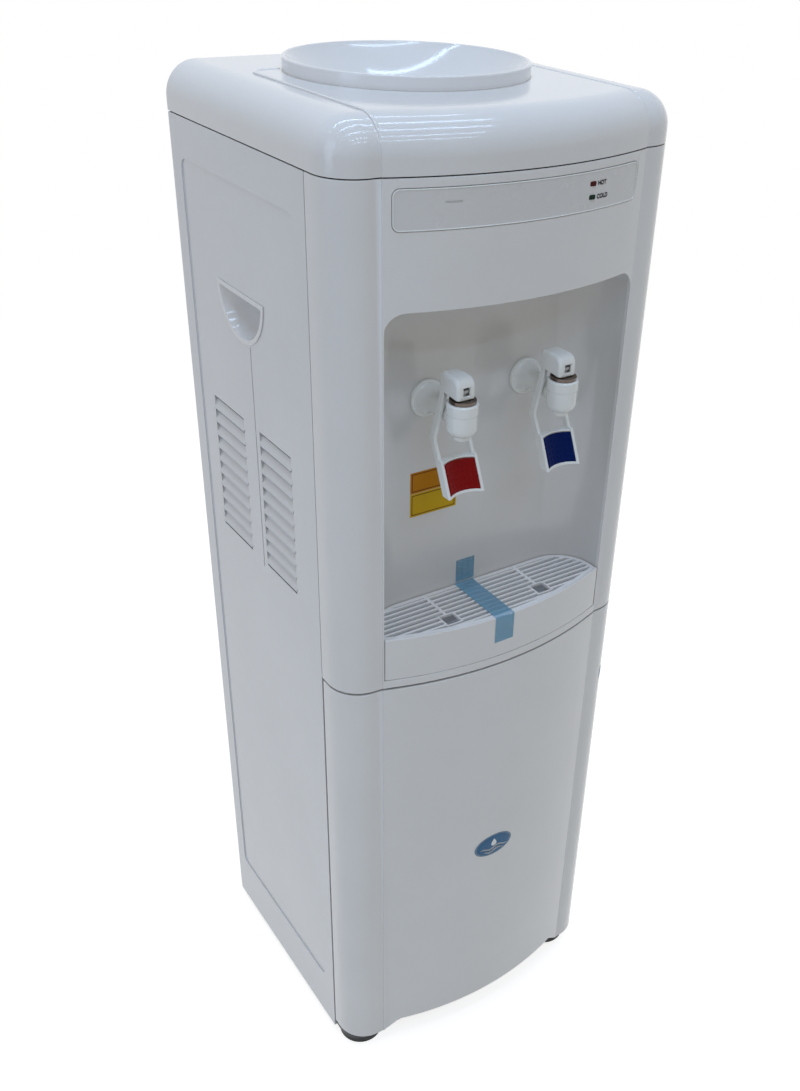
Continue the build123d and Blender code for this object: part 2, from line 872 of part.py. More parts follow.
def cover_outline(inset):
    """Face of the cover's plan, moved in by inset, with the bow blended into the columns."""
    side_x = half_width - inset
    face_y = front_y + inset
    round_radius = corner_radius - inset
    flat_radius = (ridge_x**2 + bow_depth**2) / (2 * bow_depth)
    nose_y = front_y - bow_depth + inset
    bow_half = math.sqrt((flat_radius - inset) ** 2 - (flat_radius - bow_depth) ** 2)
    with BuildLine() as outline:
        Line((-side_x, back_y - inset), (-side_x, face_y + round_radius))
        RadiusArc((-side_x, face_y + round_radius), (round_radius - side_x, face_y), -round_radius)
        Line((round_radius - side_x, face_y), (-ridge_x, face_y))
        ThreePointArc((-ridge_x, face_y), (0, nose_y), (ridge_x, face_y))
        Line((ridge_x, face_y), (side_x - round_radius, face_y))
        RadiusArc((side_x - round_radius, face_y), (side_x, face_y + round_radius), -round_radius)
        Line((side_x, face_y + round_radius), (side_x, back_y - inset))
        Line((side_x, back_y - inset), (-side_x, back_y - inset))
    make_face(outline.edges())
    fillet(
        vertices().filter_by(lambda v: abs(abs(v.X) - ridge_x) < seam_gap),
        cover_blend,
    )


# Top cover: outer form, raised crown, hollow and the collar's seat
with BuildPart() as cover_hollow:
    with BuildSketch(Plane.XY.offset(cover_bottom - overrun)):
        cover_outline(cover_wall)
    extrude(amount=cover_top - cover_wall - cover_bottom + overrun)
    hollow_roof = cover_hollow.faces().sort_by(Axis.Z)[-1]
    fillet(hollow_roof.edges().sort_by(Axis.Y)[:-1], cover_radius - cover_wall)

with BuildPart() as cover_crown:
    crown_rear_y = front_y + crown_rear
    crown_far_y = front_y - bow_depth - overrun
    with BuildSketch(Plane.XY.offset(cover_bottom)):
        with Locations((0, (crown_far_y + crown_rear_y) / 2)):
            Rectangle(2 * ridge_x, crown_rear_y - crown_far_y)
        fillet(vertices().group_by(Axis.Y)[-1], crown_corner)
        with Locations((0, bow_centre_y)):
            Circle(bow_radius, mode=Mode.INTERSECT)
    extrude(amount=cover_top + ridge_step - cover_bottom)
    crown_roof = cover_crown.faces().sort_by(Axis.Z)[-1]
    fillet(crown_roof.edges().sort_by(Axis.Y)[0], cover_radius + ridge_step)

with BuildPart() as top_cover:
    with BuildSketch(Plane.XY.offset(cover_bottom)):
        cover_outline(0)
    extrude(amount=cover_top - cover_bottom)
    cover_roof = top_cover.faces().sort_by(Axis.Z)[-1]
    fillet(cover_roof.edges().sort_by(Axis.Y)[:-1], cover_radius)
    add(cover_crown.part)
    add(cover_hollow.part, mode=Mode.SUBTRACT)
    with BuildSketch(Plane.XY.offset(cover_top)):
        with Locations((0, collar_y)):
            Circle(collar_radius + fit_gap)
    extrude(amount=overrun, mode=Mode.SUBTRACT)
    with BuildSketch(Plane.XY.offset(cover_bottom)):
        with Locations((0, collar_y)):
            Circle(spigot_radius + fit_gap)
    extrude(amount=cover_top - cover_bottom + overrun, mode=Mode.SUBTRACT)

top_cover.part.label = "top_cover"
export_step(top_cover.part, "parts/top_cover.step")

# Bottle collar: rim, dish and neck tube in one moulding
with BuildPart() as bottle_collar:
    dish_edge_z = height - dish_top_drop
    collar_plane = Plane(origin=(0, collar_y, 0), x_dir=(1, 0, 0), z_dir=(0, -1, 0))
    with BuildSketch(collar_plane):
        with BuildLine():
            Polyline((neck_radius, neck_bottom), (neck_radius, neck_top), (dish_inner_radius, dish_bottom))
            RadiusArc((dish_inner_radius, dish_bottom), (dish_outer_radius, dish_edge_z), -dish_curve)
            Polyline(
                (dish_outer_radius, dish_edge_z),
                (collar_radius - collar_lip, height),
                (collar_radius, height),
                (collar_radius, cover_top),
                (spigot_radius, cover_top),
                (spigot_radius, cover_top - spigot_depth),
                (spigot_radius - dish_wall, cover_top - spigot_depth),
                (spigot_radius - dish_wall, dish_edge_z - 2 * dish_wall),
            )
            RadiusArc(
                (spigot_radius - dish_wall, dish_edge_z - 2 * dish_wall),
                (dish_inner_radius, dish_bottom - 2 * dish_wall),
                dish_curve,
            )
            Polyline(
                (dish_inner_radius, dish_bottom - 2 * dish_wall),
                (neck_radius + neck_wall, neck_top - 2 * dish_wall),
                (neck_radius + neck_wall, neck_bottom),
                (neck_radius, neck_bottom),
            )
        make_face()
    revolve(axis=Axis((0, collar_y, 0), (0, 0, 1)))
    fillet(bottle_collar.edges().group_by(Axis.Z)[-1], collar_lip_round)

bottle_collar.part.label = "bottle_collar"
export_step(bottle_collar.part, "parts/bottle_collar.step")

with BuildPart() as neck_seal:
    with BuildSketch(Plane.XY.offset(cold_top)):
        with Locations((0, collar_y)):
            Circle(neck_radius + neck_wall + running_gap + seal_width)
            Circle(neck_radius + neck_wall + running_gap, mode=Mode.SUBTRACT)
    extrude(amount=seal_height)

neck_seal.part.label = "neck_seal"
export_step(neck_seal.part, "parts/neck_seal.step")

# Cold tank with the holes for its two outlets
with BuildPart() as cold_tank:
    with BuildSketch(Plane.XY.offset(cold_bottom)):
        with Locations((0, collar_y)):
            Circle(cold_radius)
    extrude(amount=cold_top - cold_bottom)
    with BuildSketch(Plane.XY.offset(cold_bottom + cold_wall)):
        with Locations((0, collar_y)):
            Circle(cold_radius - cold_wall)
    extrude(amount=cold_top - cold_bottom - 2 * cold_wall, mode=Mode.SUBTRACT)
    with BuildSketch(Plane.XY.offset(cold_top - cold_wall)):
        with Locations((0, collar_y)):
            Circle(tank_mouth_radius)
    extrude(amount=cold_wall, mode=Mode.SUBTRACT)
    with BuildSketch(Plane.XY.offset(cold_bottom)):
        with Locations((0, feed_y), (tap_half_spacing, cold_outlet_y)):
            Circle(tube_radius - tube_wall)
    extrude(amount=cold_wall, mode=Mode.SUBTRACT)

cold_tank.part.label = "cold_tank"
export_step(cold_tank.part, "parts/cold_tank.step")

# Foam block round the cold tank
with BuildPart() as cold_tank_insulation:
    foam_half = cold_radius + foam_wall
    with BuildSketch(Plane.XY.offset(cold_bottom - foam_floor)):
        with Locations((0, collar_y)):
            Rectangle(2 * foam_half, 2 * foam_half)
        fillet(vertices(), foam_wall)
    extrude(amount=cold_top - cold_bottom + foam_floor)
    with BuildSketch(Plane.XY.offset(cold_bottom)):
        with Locations((0, collar_y)):
            Circle(cold_radius + fit_gap)
    extrude(amount=cold_top - cold_bottom, mode=Mode.SUBTRACT)
    with BuildSketch(Plane.XY.offset(cold_bottom - foam_floor)):
        with Locations((0, feed_y), (tap_half_spacing, cold_outlet_y)):
            Circle(tube_radius + tube_gap)
    extrude(amount=foam_floor, mode=Mode.SUBTRACT)
    with BuildSketch(Plane.XZ.offset(-collar_y)):
        with Locations((0, conductor_level)):
            Rectangle(conductor_side + 2 * fit_gap, conductor_side + 2 * fit_gap)
    extrude(amount=-foam_half - foam_wall, mode=Mode.SUBTRACT)

cold_tank_insulation.part.label = "cold_tank_insulation"
export_step(cold_tank_insulation.part, "parts/cold_tank_insulation.step")

# Cold block between the tank and the thermoelectric module
conductor_rear_y = collar_y + cold_radius + foam_wall + conductor_proud
with BuildPart() as cold_conductor:
    with BuildSketch(Plane.XZ.offset(-collar_y)):
        with Locations((0, conductor_level)):
            Rectangle(conductor_side, conductor_side)
    extrude(amount=collar_y - conductor_rear_y)
    with BuildSketch(Plane.XY.offset(cold_bottom)):
        with Locations((0, collar_y)):
            Circle(cold_radius)
    extrude(amount=cold_top - cold_bottom, mode=Mode.SUBTRACT)

cold_conductor.part.label = "cold_conductor"
export_step(cold_conductor.part, "parts/cold_conductor.step")

with BuildPart() as peltier_module:
    with BuildSketch(Plane.XZ.offset(-conductor_rear_y)):
        with Locations((0, conductor_level)):
            Rectangle(conductor_side, conductor_side)
    extrude(amount=-peltier_thickness)

peltier_module.part.label = "peltier_module"
export_step(peltier_module.part, "parts/peltier_module.step")

# Finned heat sink
sink_front_y = conductor_rear_y + peltier_thickness
sink_rear_y = sink_front_y + sink_base + sink_fin_height
with BuildPart() as heat_sink:
    with BuildSketch(Plane.XZ.offset(-sink_front_y)):
        with Locations((0, conductor_level)):
            Rectangle(sink_side, sink_side)
    extrude(amount=-sink_base)
    fin_pitch = (sink_side - sink_fin) / (sink_fin_count - 1)
    with BuildSketch(Plane.XZ.offset(-sink_front_y - sink_base)):
        with Locations((0, conductor_level)):
            with GridLocations(fin_pitch, fin_pitch, sink_fin_count, 1):
                Rectangle(sink_fin, sink_side)
    extrude(amount=-sink_fin_height)

heat_sink.part.label = "heat_sink"
export_step(heat_sink.part, "parts/heat_sink.step")

# Fan frame, open at the front, with its motor plate on four struts at the rear
fan_front_y = sink_rear_y
fan_rear_y = fan_front_y + fan_depth
with BuildPart() as fan_frame:
    with BuildSketch(Plane.XZ.offset(-fan_front_y)):
        with Locations((0, conductor_level)):
            RectangleRounded(sink_side, sink_side, fan_corner)
            Circle(fan_bore_radius, mode=Mode.SUBTRACT)
    extrude(amount=-fan_depth)
    with BuildSketch(Plane.XZ.offset(-fan_rear_y)):
        with Locations((0, conductor_level)):
            Circle(fan_hub_radius)
            Rectangle(2 * fan_bore_radius + fan_corner, fan_strut)
            Rectangle(fan_strut, 2 * fan_bore_radius + fan_corner)
    extrude(amount=fan_plate)
    with BuildSketch(Plane.XZ.offset(-fan_rear_y)):
        with Locations((0, conductor_level)):
            Circle(fan_shaft_radius)
    extrude(amount=fan_depth - fan_plate)

fan_frame.part.label = "fan_frame"
export_step(fan_frame.part, "parts/fan_frame.step")

# Fan rotor: hub on the shaft with pitched blades
rotor_rear_y = fan_rear_y - fan_plate - fan_gap
rotor_length = fan_depth - 2 * fan_plate - fan_gap
rotor_plane = Plane(origin=(0, rotor_rear_y, conductor_level), x_dir=(1, 0, 0), z_dir=(0, -1, 0))
with BuildPart() as fan_blade:
    blade_plane = Plane(
        origin=(0, rotor_rear_y - rotor_length / 2, conductor_level),
        x_dir=(0, math.sin(math.radians(fan_blade_angle)), math.cos(math.radians(fan_blade_angle))),
        z_dir=(1, 0, 0),
    )
    with BuildSketch(blade_plane.offset(fan_hub_radius - fan_hub_wall / 2)):
        Rectangle(fan_blade_chord, fan_blade_wall)
    extrude(amount=fan_blade_radius - fan_hub_radius)

with BuildPart() as fan_rotor:
    with BuildSketch(rotor_plane):
        Circle(fan_hub_radius)
        Circle(fan_shaft_radius + running_gap, mode=Mode.SUBTRACT)
    extrude(amount=rotor_length)
    for turn in range(fan_blade_count):
        add(fan_blade.part.rotate(Axis((0, 0, conductor_level), (0, 1, 0)), 360 * turn / fan_blade_count))

fan_rotor.part.label = "fan_rotor"
export_step(fan_rotor.part, "parts/fan_rotor.step")

# Hot tank with its inlet, outlet and drain holes
with BuildPart() as hot_tank:
    with BuildSketch(Plane.XY.offset(hot_bottom)):
        Circle(hot_radius)
    extrude(amount=hot_top - hot_bottom)
    with BuildSketch(Plane.XY.offset(hot_bottom + hot_wall)):
        Circle(hot_radius - hot_wall)
    extrude(amount=hot_top - hot_bottom - 2 * hot_wall, mode=Mode.SUBTRACT)
    with BuildSketch(Plane.XY.offset(hot_top - hot_wall)):
        with Locations((hot_outlet_x, hot_outlet_y)):
            Circle(tube_radius - tube_wall)
    extrude(amount=hot_wall, mode=Mode.SUBTRACT)
    with BuildSketch(Plane.XZ):
        with Locations((0, feed_level), (drain_x, drain_level)):
            Circle(tube_radius - tube_wall)
    extrude(amount=-jacket_radius, mode=Mode.SUBTRACT)

hot_tank.part.label = "hot_tank"
export_step(hot_tank.part, "parts/hot_tank.step")

# Insulating jacket that the hot tank stands in
with BuildPart() as hot_tank_jacket:
    with BuildSketch(Plane.XY.offset(deck_top)):
        Circle(jacket_radius)
    extrude(amount=jacket_top - deck_top)
    with BuildSketch(Plane.XY.offset(hot_bottom)):
        Circle(hot_radius + jacket_gap)
    extrude(amount=jacket_top - hot_bottom, mode=Mode.SUBTRACT)
    with BuildSketch(Plane.XZ):
        with Locations((0, feed_level), (drain_x, drain_level)):
            Circle(tube_radius + tube_gap)
    extrude(amount=-2 * jacket_radius, mode=Mode.SUBTRACT)

hot_tank_jacket.part.label = "hot_tank_jacket"
export_step(hot_tank_jacket.part, "parts/hot_tank_jacket.step")

with BuildPart() as heater_band:
    with BuildSketch(Plane.XY.offset(band_bottom)):
        Circle(hot_radius + band_thickness)
        Circle(hot_radius, mode=Mode.SUBTRACT)
    extrude(amount=band_height)

heater_band.part.label = "heater_band"
export_step(heater_band.part, "parts/heater_band.step")

with BuildPart() as hot_thermostat:
    with BuildSketch(Plane.XY.offset(hot_top)):
        with Locations((thermostat_x, thermostat_y)):
            Circle(thermostat_radius)
    extrude(amount=thermostat_height)

hot_thermostat.part.label = "hot_thermostat"
export_step(hot_thermostat.part, "parts/hot_thermostat.step")

# Water tubes
tail_y = alcove_back_y + moulding_wall + tail_length

with BuildPart() as feed_tube:
    with BuildLine() as feed_path:
        FilletPolyline(
            (0, feed_y, cold_bottom),
            (0, feed_y, feed_level),
            (0, hot_radius, feed_level),
            radius=tube_bend,
        )
    with BuildSketch(Plane(origin=feed_path.line @ 0, z_dir=feed_path.line % 0)):
        Circle(tube_radius)
        Circle(tube_radius - tube_wall, mode=Mode.SUBTRACT)
    sweep()
    with BuildSketch(Plane.XY.offset(hot_bottom)):
        Circle(hot_radius)
    extrude(amount=hot_top - hot_bottom, mode=Mode.SUBTRACT)

feed_tube.part.label = "feed_tube"
export_step(feed_tube.part, "parts/feed_tube.step")

with BuildPart() as cold_tube:
    with BuildLine() as cold_path:
        FilletPolyline(
            (tap_half_spacing, cold_outlet_y, cold_bottom),
            (tap_half_spacing, cold_outlet_y, tap_level),
            (tap_half_spacing, tail_y, tap_level),
            radius=tube_bend,
        )
    with BuildSketch(Plane(origin=cold_path.line @ 0, z_dir=cold_path.line % 0)):
        Circle(tube_radius)
        Circle(tube_radius - tube_wall, mode=Mode.SUBTRACT)
    sweep()

cold_tube.part.label = "cold_tube"
export_step(cold_tube.part, "parts/cold_tube.step")

with BuildPart() as hot_tube:
    with BuildLine() as hot_path:
        FilletPolyline(
            (hot_outlet_x, hot_outlet_y, hot_top),
            (hot_outlet_x, hot_outlet_y, hot_top + hot_rise),
            (-tap_half_spacing, hot_turn_y, tap_level),
            (-tap_half_spacing, tail_y, tap_level),
            radius=hot_bend,
        )
    with BuildSketch(Plane(origin=hot_path.line @ 0, z_dir=hot_path.line % 0)):
        Circle(tube_radius)
        Circle(tube_radius - tube_wall, mode=Mode.SUBTRACT)
    sweep()

hot_tube.part.label = "hot_tube"
export_step(hot_tube.part, "parts/hot_tube.step")

valve_inner_y = rear_inner_y - valve_inner_length
with BuildPart() as drain_tube:
    with BuildSketch(Plane.XZ.offset(-hot_radius / 2)):
        with Locations((drain_x, drain_level)):
            Circle(tube_radius)
            Circle(tube_radius - tube_wall, mode=Mode.SUBTRACT)
    extrude(amount=hot_radius / 2 - valve_inner_y)
    with BuildSketch(Plane.XY.offset(hot_bottom)):
        Circle(hot_radius)
    extrude(amount=hot_top - hot_bottom, mode=Mode.SUBTRACT)

drain_tube.part.label = "drain_tube"
export_step(drain_tube.part, "parts/drain_tube.step")

# Power supply case with vent slots, standing on the deck
with BuildPart() as power_supply:
    with BuildSketch(Plane.XY.offset(deck_top)):
        with Locations((supply_x, 0)):
            Rectangle(supply_width, supply_length)
    extrude(amount=supply_height)
    with BuildSketch(Plane.XY.offset(deck_top + supply_wall)):
        with Locations((supply_x, 0)):
            Rectangle(supply_width - 2 * supply_wall, supply_length - 2 * supply_wall)
    extrude(amount=supply_height - 2 * supply_wall, mode=Mode.SUBTRACT)
    with BuildSketch(Plane.XY.offset(deck_top + supply_height - supply_wall)):
        with Locations((supply_x, 0)):
            with GridLocations(supply_slot_pitch, supply_slot_pitch, 1, supply_slot_count):
                Rectangle(supply_width * supply_slot_share, supply_slot)
    extrude(amount=supply_wall, mode=Mode.SUBTRACT)

power_supply.part.label = "power_supply"
export_step(power_supply.part, "parts/power_supply.step")

# Switch plate with the two switch cases
with BuildPart() as switch_plate:
    case_width = switch_width + 2 * switch_case_wall
    case_height = switch_height + 2 * switch_case_wall
    with BuildSketch(Plane.XZ.offset(-back_y)):
        with Locations((switch_x, switch_level)):
            RectangleRounded(switch_plate_width, switch_plate_height, switch_plate_corner)
    extrude(amount=-switch_plate_wall)
    with BuildSketch(Plane.XZ.offset(-back_y)):
        with Locations((switch_x, switch_level)):
            Rectangle(switch_spacing + case_width, case_height)
    extrude(amount=switch_case)
    with BuildSketch(Plane.XZ.offset(-back_y - switch_plate_wall)):
        with Locations((switch_x, switch_level)):
            with GridLocations(switch_spacing, switch_spacing, 2, 1):
                Rectangle(switch_width, switch_height)
    extrude(amount=switch_case + switch_plate_wall - switch_case_wall, mode=Mode.SUBTRACT)

switch_plate.part.label = "switch_plate"
export_step(switch_plate.part, "parts/switch_plate.step")

# Rocker: a shallow vee face on a half-round root, tilted to its off side
rocker_y = back_y + switch_plate_wall
rocker_turn = math.radians(rocker_tilt)
rocker_half = switch_height / 2 - rocker_gap - rocker_rise / 2
with BuildPart() as hot_switch:
    rocker_plane = Plane(
        origin=(switch_x - switch_spacing / 2, rocker_y - rocker_root / 2, switch_level),
        x_dir=(0, math.cos(rocker_turn), math.sin(rocker_turn)),
        z_dir=(1, 0, 0),
    )
    with BuildSketch(rocker_plane):
        with BuildLine():
            Polyline(
                (-rocker_root, -rocker_half / 2),
                (-rocker_root / 2, -rocker_half),
                (rocker_reach + rocker_rise, -rocker_half),
                (rocker_reach, 0),
                (rocker_reach + rocker_rise, rocker_half),
                (-rocker_root / 2, rocker_half),
                (-rocker_root, rocker_half / 2),
                close=True,
            )
        make_face()
    extrude(amount=switch_width / 2 - rocker_gap, both=True)
    with BuildSketch(rocker_plane):
        Circle(rocker_pin_radius)
    extrude(amount=switch_width / 2 - rocker_pin_gap, both=True)

hot_switch.part.label = "hot_switch"
export_step(hot_switch.part, "parts/hot_switch.step")

with BuildPart() as cold_switch:
    with Locations((switch_spacing, 0, 0)):
        add(hot_switch.part)

cold_switch.part.label = "cold_switch"
export_step(cold_switch.part, "parts/cold_switch.step")

# Gland that the mains cord would pass through
with BuildPart() as cord_gland:
    with BuildSketch(Plane.XZ.offset(-back_y)):
        with Locations((gland_x, gland_level)):
            Circle(gland_flange_radius)
    extrude(amount=-gland_flange)
    with BuildSketch(Plane.XZ.offset(-back_y)):
        with Locations((gland_x, gland_level)):
            Circle(gland_radius)
    extrude(amount=gland_length)
    with BuildSketch(Plane.XZ.offset(-back_y - gland_flange)):
        with Locations((gland_x, gland_level)):
            Circle(gland_bore_radius)
    extrude(amount=gland_length + gland_flange, mode=Mode.SUBTRACT)

cord_gland.part.label = "cord_gland"
export_step(cord_gland.part, "parts/cord_gland.step")

# Drain nipple and its cap
with BuildPart() as drain_valve:
    with BuildSketch(Plane.XZ.offset(-back_y)):
        with Locations((drain_x, drain_level)):
            Circle(valve_flange_radius)
    extrude(amount=-valve_flange)
    with BuildSketch(Plane.XZ.offset(-valve_inner_y)):
        with Locations((drain_x, drain_level)):
            Circle(valve_radius)
    extrude(amount=valve_inner_y - back_y - valve_reach)
    with BuildSketch(Plane.XZ.offset(-valve_inner_y)):
        with Locations((drain_x, drain_level)):
            Circle(tube_radius - tube_wall)
    extrude(amount=valve_inner_y - back_y - valve_reach, mode=Mode.SUBTRACT)

drain_valve.part.label = "drain_valve"
export_step(drain_valve.part, "parts/drain_valve.step")

with BuildPart() as drain_cap:
    cap_front_y = back_y + valve_flange + fit_gap
    with BuildSketch(Plane.XZ.offset(-cap_front_y)):
        with Locations((drain_x, drain_level)):
            Circle(valve_radius + cap_gap + cap_wall)
    extrude(amount=-cap_length)
    with BuildSketch(Plane.XZ.offset(-cap_front_y)):
        with Locations((drain_x, drain_level)):
            Circle(valve_radius + cap_gap)
    extrude(amount=cap_wall - cap_length, mode=Mode.SUBTRACT)

drain_cap.part.label = "drain_cap"
export_step(drain_cap.part, "parts/drain_cap.step")

# Storage compartment with its front frame
with BuildPart() as cabinet_liner:
    frame_bottom = base_top + fit_gap
    frame_top = lip_bottom - fit_gap
    frame_front_y = panel_front_y + frame_setback
    with BuildSketch(Plane.XZ.offset(-frame_front_y)):
        with Locations((0, (frame_bottom + frame_top) / 2)):
            Rectangle(2 * inside_x, frame_top - frame_bottom)
    extrude(amount=-liner_flange_wall)
    liner_rear_y = front_y + liner_back
    with BuildSketch(Plane.XZ.offset(-frame_front_y)):
        with Locations((0, (liner_floor + liner_top) / 2)):
            RectangleRounded(
                2 * (liner_half + liner_wall),
                liner_top - liner_floor + 2 * liner_wall,
                liner_corner + liner_wall,
            )
    extrude(amount=frame_front_y - liner_rear_y)
    with BuildSketch(Plane.XZ.offset(-frame_front_y)):
        with Locations((0, (liner_floor + liner_top) / 2)):
            RectangleRounded(2 * liner_half, liner_top - liner_floor, liner_corner)
    extrude(amount=frame_front_y - liner_rear_y + liner_wall, mode=Mode.SUBTRACT)

cabinet_liner.part.label = "cabinet_liner"
export_step(cabinet_liner.part, "parts/cabinet_liner.step")

# Door shell with the arch cut under its bow
with BuildPart() as door_shell:
    with BuildSketch(Plane.XY.offset(door_bottom)):
        front_outline(0, door_rear_y)
    extrude(amount=door_top - door_bottom)
    with BuildSketch(Plane.XY.offset(door_bottom)):
        front_outline(door_wall, door_rear_y + overrun)
    extrude(amount=door_top - door_bottom - door_wall, mode=Mode.SUBTRACT)
    arch_half = ridge_x - arch_run
    with BuildSketch(Plane.XZ.offset(-front_y - wrap_depth / 2)):
        with BuildLine():
            Polyline(
                (-ridge_x, door_bottom - overrun),
                (-ridge_x, door_bottom),
                (-arch_half, door_bottom + door_arch),
                (arch_half, door_bottom + door_arch),
                (ridge_x, door_bottom),
                (ridge_x, door_bottom - overrun),
                close=True,
            )
        make_face()
    extrude(amount=wrap_depth / 2 + bow_depth + overrun, mode=Mode.SUBTRACT)
    with BuildSketch(Plane.XY.offset(door_top - door_wall)):
        with Locations((hinge_x, hinge_y)):
            Circle(hinge_radius + fit_gap)
    extrude(amount=door_wall, mode=Mode.SUBTRACT)

door_shell.part.label = "door_shell"
export_step(door_shell.part, "parts/door_shell.step")

# Door's inner pan with the two hinge bosses
with BuildPart() as door_liner:
    pan_half = half_width - door_wall
    pan_bottom = door_bottom + door_arch + liner_sheet
    pan_top = door_top - door_wall
    with BuildSketch(Plane.XZ.offset(-door_rear_y)):
        with Locations((0, (pan_bottom + pan_top) / 2)):
            Rectangle(2 * pan_half, pan_top - pan_bottom)
    extrude(amount=liner_depth)
    with BuildSketch(Plane.XZ.offset(-door_rear_y + liner_sheet)):
        with Locations((0, (pan_bottom + pan_top) / 2)):
            Rectangle(2 * (pan_half - liner_sheet), pan_top - pan_bottom - 2 * liner_sheet)
    extrude(amount=liner_depth, mode=Mode.SUBTRACT)
    for boss_z in (pan_bottom, pan_top - boss_height):
        with BuildSketch(Plane.XY.offset(boss_z)):
            with Locations((-pan_half, door_rear_y)):
                Rectangle(boss_side, boss_side, align=(Align.MIN, Align.MAX))
        extrude(amount=boss_height)
    for bore_z in (pan_bottom, pan_top - hinge_engage - seam_gap):
        with BuildSketch(Plane.XY.offset(bore_z)):
            with Locations((hinge_x, hinge_y)):
                Circle(hinge_radius + running_gap)
        extrude(amount=hinge_engage + seam_gap, mode=Mode.SUBTRACT)

door_liner.part.label = "door_liner"
export_step(door_liner.part, "parts/door_liner.step")

# Magnetic gasket on the back of the door
with BuildPart() as door_gasket:
    gasket_half = pan_half - gasket_inset
    gasket_bottom = pan_bottom + gasket_inset
    gasket_top = pan_top - gasket_inset
    with BuildSketch(Plane.XZ.offset(-door_rear_y)):
        with Locations((0, (gasket_bottom + gasket_top) / 2)):
            Rectangle(2 * gasket_half, gasket_top - gasket_bottom)
            Rectangle(
                2 * (gasket_half - gasket_width),
                gasket_top - gasket_bottom - 2 * gasket_width,
                mode=Mode.SUBTRACT,
            )
    extrude(amount=-gasket_wall)

door_gasket.part.label = "door_gasket"
export_step(door_gasket.part, "parts/door_gasket.step")

# Hinge pins
with BuildPart() as upper_hinge_pin:
    with BuildSketch(Plane.XY.offset(pan_top - hinge_engage)):
        with Locations((hinge_x, hinge_y)):
            Circle(hinge_radius)
    extrude(amount=lip_bottom + moulding_wall - pan_top + hinge_engage)

upper_hinge_pin.part.label = "upper_hinge_pin"
export_step(upper_hinge_pin.part, "parts/upper_hinge_pin.step")

with BuildPart() as lower_hinge_pin:
    with BuildSketch(Plane.XY.offset(ground_gap + base_floor)):
        with Locations((hinge_x, hinge_y)):
            Circle(hinge_radius)
    extrude(amount=pan_bottom + hinge_engage - ground_gap - base_floor)

lower_hinge_pin.part.label = "lower_hinge_pin"
export_step(lower_hinge_pin.part, "parts/lower_hinge_pin.step")

# Drip tray: a tub whose bowed front is the drawer's face
tray_bottom = lip_top + fit_gap
tray_rim = fascia_top - tray_rim_drop
with BuildPart() as drip_tray:
    with BuildSketch(Plane.XY.offset(tray_bottom)):
        alcove_outline(-tray_gap, 0)
    extrude(amount=fascia_top - tray_bottom)
    with BuildSketch(Plane.XY.offset(tray_bottom + tray_floor)):
        alcove_outline(-tray_gap - tray_wall, moulding_wall)
    extrude(amount=fascia_top - tray_bottom, mode=Mode.SUBTRACT)
    with BuildSketch(Plane.XY.offset(tray_rim)):
        alcove_outline(overrun, moulding_wall)
    extrude(amount=tray_rim_drop + overrun, mode=Mode.SUBTRACT)

drip_tray.part.label = "drip_tray"
export_step(drip_tray.part, "parts/drip_tray.step")

# Grille with rows of slots and the two cup squares
with BuildPart() as drip_grille:
    with BuildSketch(Plane.XY.offset(tray_rim)):
        alcove_outline(-tray_gap, moulding_wall + grille_gap)
    extrude(amount=grille_thickness)
    row_middle_y = alcove_back_y - grille_frame - grille_pitch * grille_rows / 2
    with BuildSketch(Plane.XY.offset(tray_rim)):
        alcove_outline(-tray_gap - grille_frame, moulding_wall + grille_gap + grille_frame)
        with Locations((0, row_middle_y)):
            with GridLocations(grille_pitch, grille_pitch, 1, grille_rows):
                Rectangle(2 * alcove_half, grille_bar, mode=Mode.SUBTRACT)
        with Locations((-tap_half_spacing, front_y + cup_back), (tap_half_spacing, front_y + cup_back)):
            Rectangle(cup_square, cup_square, mode=Mode.SUBTRACT)
            Rectangle(cup_rib, alcove_depth, align=(Align.CENTER, Align.MIN), mode=Mode.SUBTRACT)
    extrude(amount=grille_thickness, mode=Mode.SUBTRACT)
    with BuildSketch(Plane.XY.offset(tray_rim)):
        with Locations((-tap_half_spacing, front_y + cup_back), (tap_half_spacing, front_y + cup_back)):
            Rectangle(cup_square - cup_rib, cup_square - cup_rib)
    extrude(amount=grille_thickness, mode=Mode.SUBTRACT)

drip_grille.part.label = "drip_grille"
export_step(drip_grille.part, "parts/drip_grille.step")

